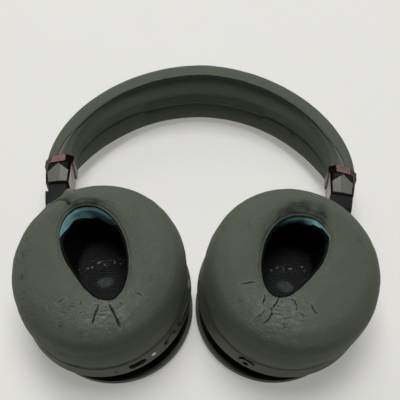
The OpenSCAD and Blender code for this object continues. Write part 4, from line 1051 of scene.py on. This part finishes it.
class HEADSET_OT_nets(bpy.types.Operator):
    """Lays the open net of thread over each driver"""
    bl_idname = "headset.nets"
    bl_label = "Driver nets"

    def execute(self, context):
        s = context.scene.headset_sizes
        tree = net_tree()
        thread = moulded("Polyester thread, black", linear("#15171a"), 0.55, 0.1)
        for side in SIDES:
            tray = bpy.data.objects[f"ear_net_tray_{side}"]
            mesh = tray.data.copy()
            net = show(bpy.data.objects.new(f"driver_net_{side}", mesh))
            origin, axes = cup_axes(side)
            bm = bmesh.new()
            bm.from_mesh(mesh)
            floor = [v for v in bm.verts if (np.array(v.co) - origin) @ axes[2] > 26.3 * MM]
            bmesh.ops.delete(bm, geom=floor, context="VERTS")
            bm.to_mesh(mesh)
            bm.free()
            mod = net.modifiers.new("Net", "NODES")
            mod.node_group = tree
            inputs = {i.name: i.identifier for i in tree.interface.items_tree if i.in_out == "INPUT"}
            mod[inputs["Pitch"]] = s.net_pitch
            mod[inputs["Thread radius"]] = s.thread
            mod[inputs["Material"]] = thread
            bake(net)
            made(net, thread, f"cup_{side}")
        return {"FINISHED"}


CUSHION_STEPS = [3, 3, 3, 4, 4, 4, 4, 4, 3, 4, 4, 4, 4, 4, 4, 4, 4, 3, 3, 3, 3, 3, 3]
COVER_STEPS = [2, 3, 3, 3, 3, 4, 4]


class HEADSET_OT_band(bpy.types.Operator):
    """Makes the headband's leather cover and its padded cushion"""
    bl_idname = "headset.band"
    bl_label = "Headband leather"

    def execute(self, context):
        skin = leather("Coated leather, olive, band", context.scene.headset_colours.band_leather)
        middle = band_middle()
        # Cushion
        angles, end = band_angles(321)
        controls = cushion_controls(angles, end)
        pts, at = band_surface(angles, controls, CUSHION_STEPS)
        few, _ = band_angles(81)
        start = cushion_controls(few, end)
        start[..., 0] -= 0.8 * (start[..., 0] > 9)
        net, _ = band_surface(few, start, [1] * (start.shape[1] - 1))
        obj = net_mesh("swell_band", (net + middle) * MM, False, False, False)
        k = start.shape[1]
        ids = np.arange(len(few) * k).reshape(len(few), k)
        held = np.unique(np.concatenate([ids[:, [0, 1, k - 2, k - 1]].ravel(), ids[[0, -1]].ravel(),
                                         ids[20:61, 10:16].ravel()]))
        co = swell([(obj, held)], -4.0)[0]
        move = capped((co / MM - middle).reshape(net.shape) - net)
        inner = controls.copy()
        inner[..., 0] -= 0.8 * (inner[..., 0] > 9)
        small, _ = band_surface(angles, inner, CUSHION_STEPS)
        pts = small + sample(move, np.linspace(0, 80, len(angles)), at, False)
        lift = 0.12 * waves(pts, 14, 6.1, 3)
        x, z = pts[..., 0], pts[..., 2]
        face = np.clip((at[None, :] - 5) / 2, 0, 1) * np.clip((18 - at[None, :]) / 2, 0, 1)
        crumple = bell(np.hypot((x - 37) / 1.4, z - 1.0), 5.0) * face
        lift += crumple * 0.7 * waves(pts, 3.2, 7.7, 2)
        crack_and_shade = face * np.clip(bell(np.hypot(x - 52, z + 3), 0.7), 0, 1)
        # Dark lines in the crumpled leather: painted shade in its puckers
        crack_and_shade = np.maximum(crack_and_shade, crumple * 0.6 * bell(waves(pts, 3.4, 2.7, 2), 0.06))
        # Painted shade in the open seam, and a painted highlight along the cushion's edge beside it
        opened = seam_depth(angles, end)[:, None]
        edge = np.minimum(at, at[-1] - at)[None, :]
        crack_and_shade = np.maximum(crack_and_shade, opened * bell(edge, 0.45))
        rub_and_highlight = 0.9 * opened * bell(edge - 1.15, 0.35)
        cushion = finish_band("band_head_cushion", pts, lift, False, rub_and_highlight=rub_and_highlight, crack_and_shade=crack_and_shade)
        made(cushion, skin, "band")
        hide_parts("band_cushion")
        # Cover: its edge stands up beside the seam towards the ends
        controls = cover_controls(angles, end)
        pts, at = band_surface(angles, controls, COVER_STEPS + [4] + COVER_STEPS[::-1])
        lift = 0.06 * waves(pts, 9, 1.1, 3)
        # Painted shade in the open seam along the cover's edges
        crack_and_shade = opened * bell(np.minimum(at, at[-1] - at)[None, :], 0.45)
        cover = finish_band("band_leather_cover", pts, lift, True, crack_and_shade=crack_and_shade)
        made(cover, skin, "band")
        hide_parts("band_cover")
        return {"FINISHED"}


class HEADSET_PT_panel(bpy.types.Panel):
    """Lists the steps that dress the headset"""
    bl_idname = "HEADSET_PT_panel"
    bl_label = "Headset"
    bl_space_type = "VIEW_3D"
    bl_region_type = "UI"
    bl_category = "Headset"

    def draw(self, context):
        for step in STEPS:
            self.layout.operator(step.bl_idname)
        for group in (context.scene.headset_sizes, context.scene.headset_colours):
            box = self.layout.box()
            for name in type(group).__annotations__:
                box.prop(group, name)


STEPS = (HEADSET_OT_stage, HEADSET_OT_finishes, HEADSET_OT_pads, HEADSET_OT_linings, HEADSET_OT_nets,
         HEADSET_OT_band)
CLASSES = (HeadsetSizes, HeadsetColours) + STEPS + (HEADSET_PT_panel,)


def register():
    for cls in CLASSES:
        bpy.utils.register_class(cls)
    bpy.types.Scene.headset_sizes = bpy.props.PointerProperty(type=HeadsetSizes)
    bpy.types.Scene.headset_colours = bpy.props.PointerProperty(type=HeadsetColours)


def unregister():
    del bpy.types.Scene.headset_sizes
    del bpy.types.Scene.headset_colours
    for cls in reversed(CLASSES):
        bpy.utils.unregister_class(cls)


def main():
    register()
    bpy.ops.headset.stage()
    bpy.ops.headset.finishes()
    bpy.ops.headset.pads()
    bpy.ops.headset.linings()
    bpy.ops.headset.nets()
    bpy.ops.headset.band()


if __name__ == "__main__":
    main()
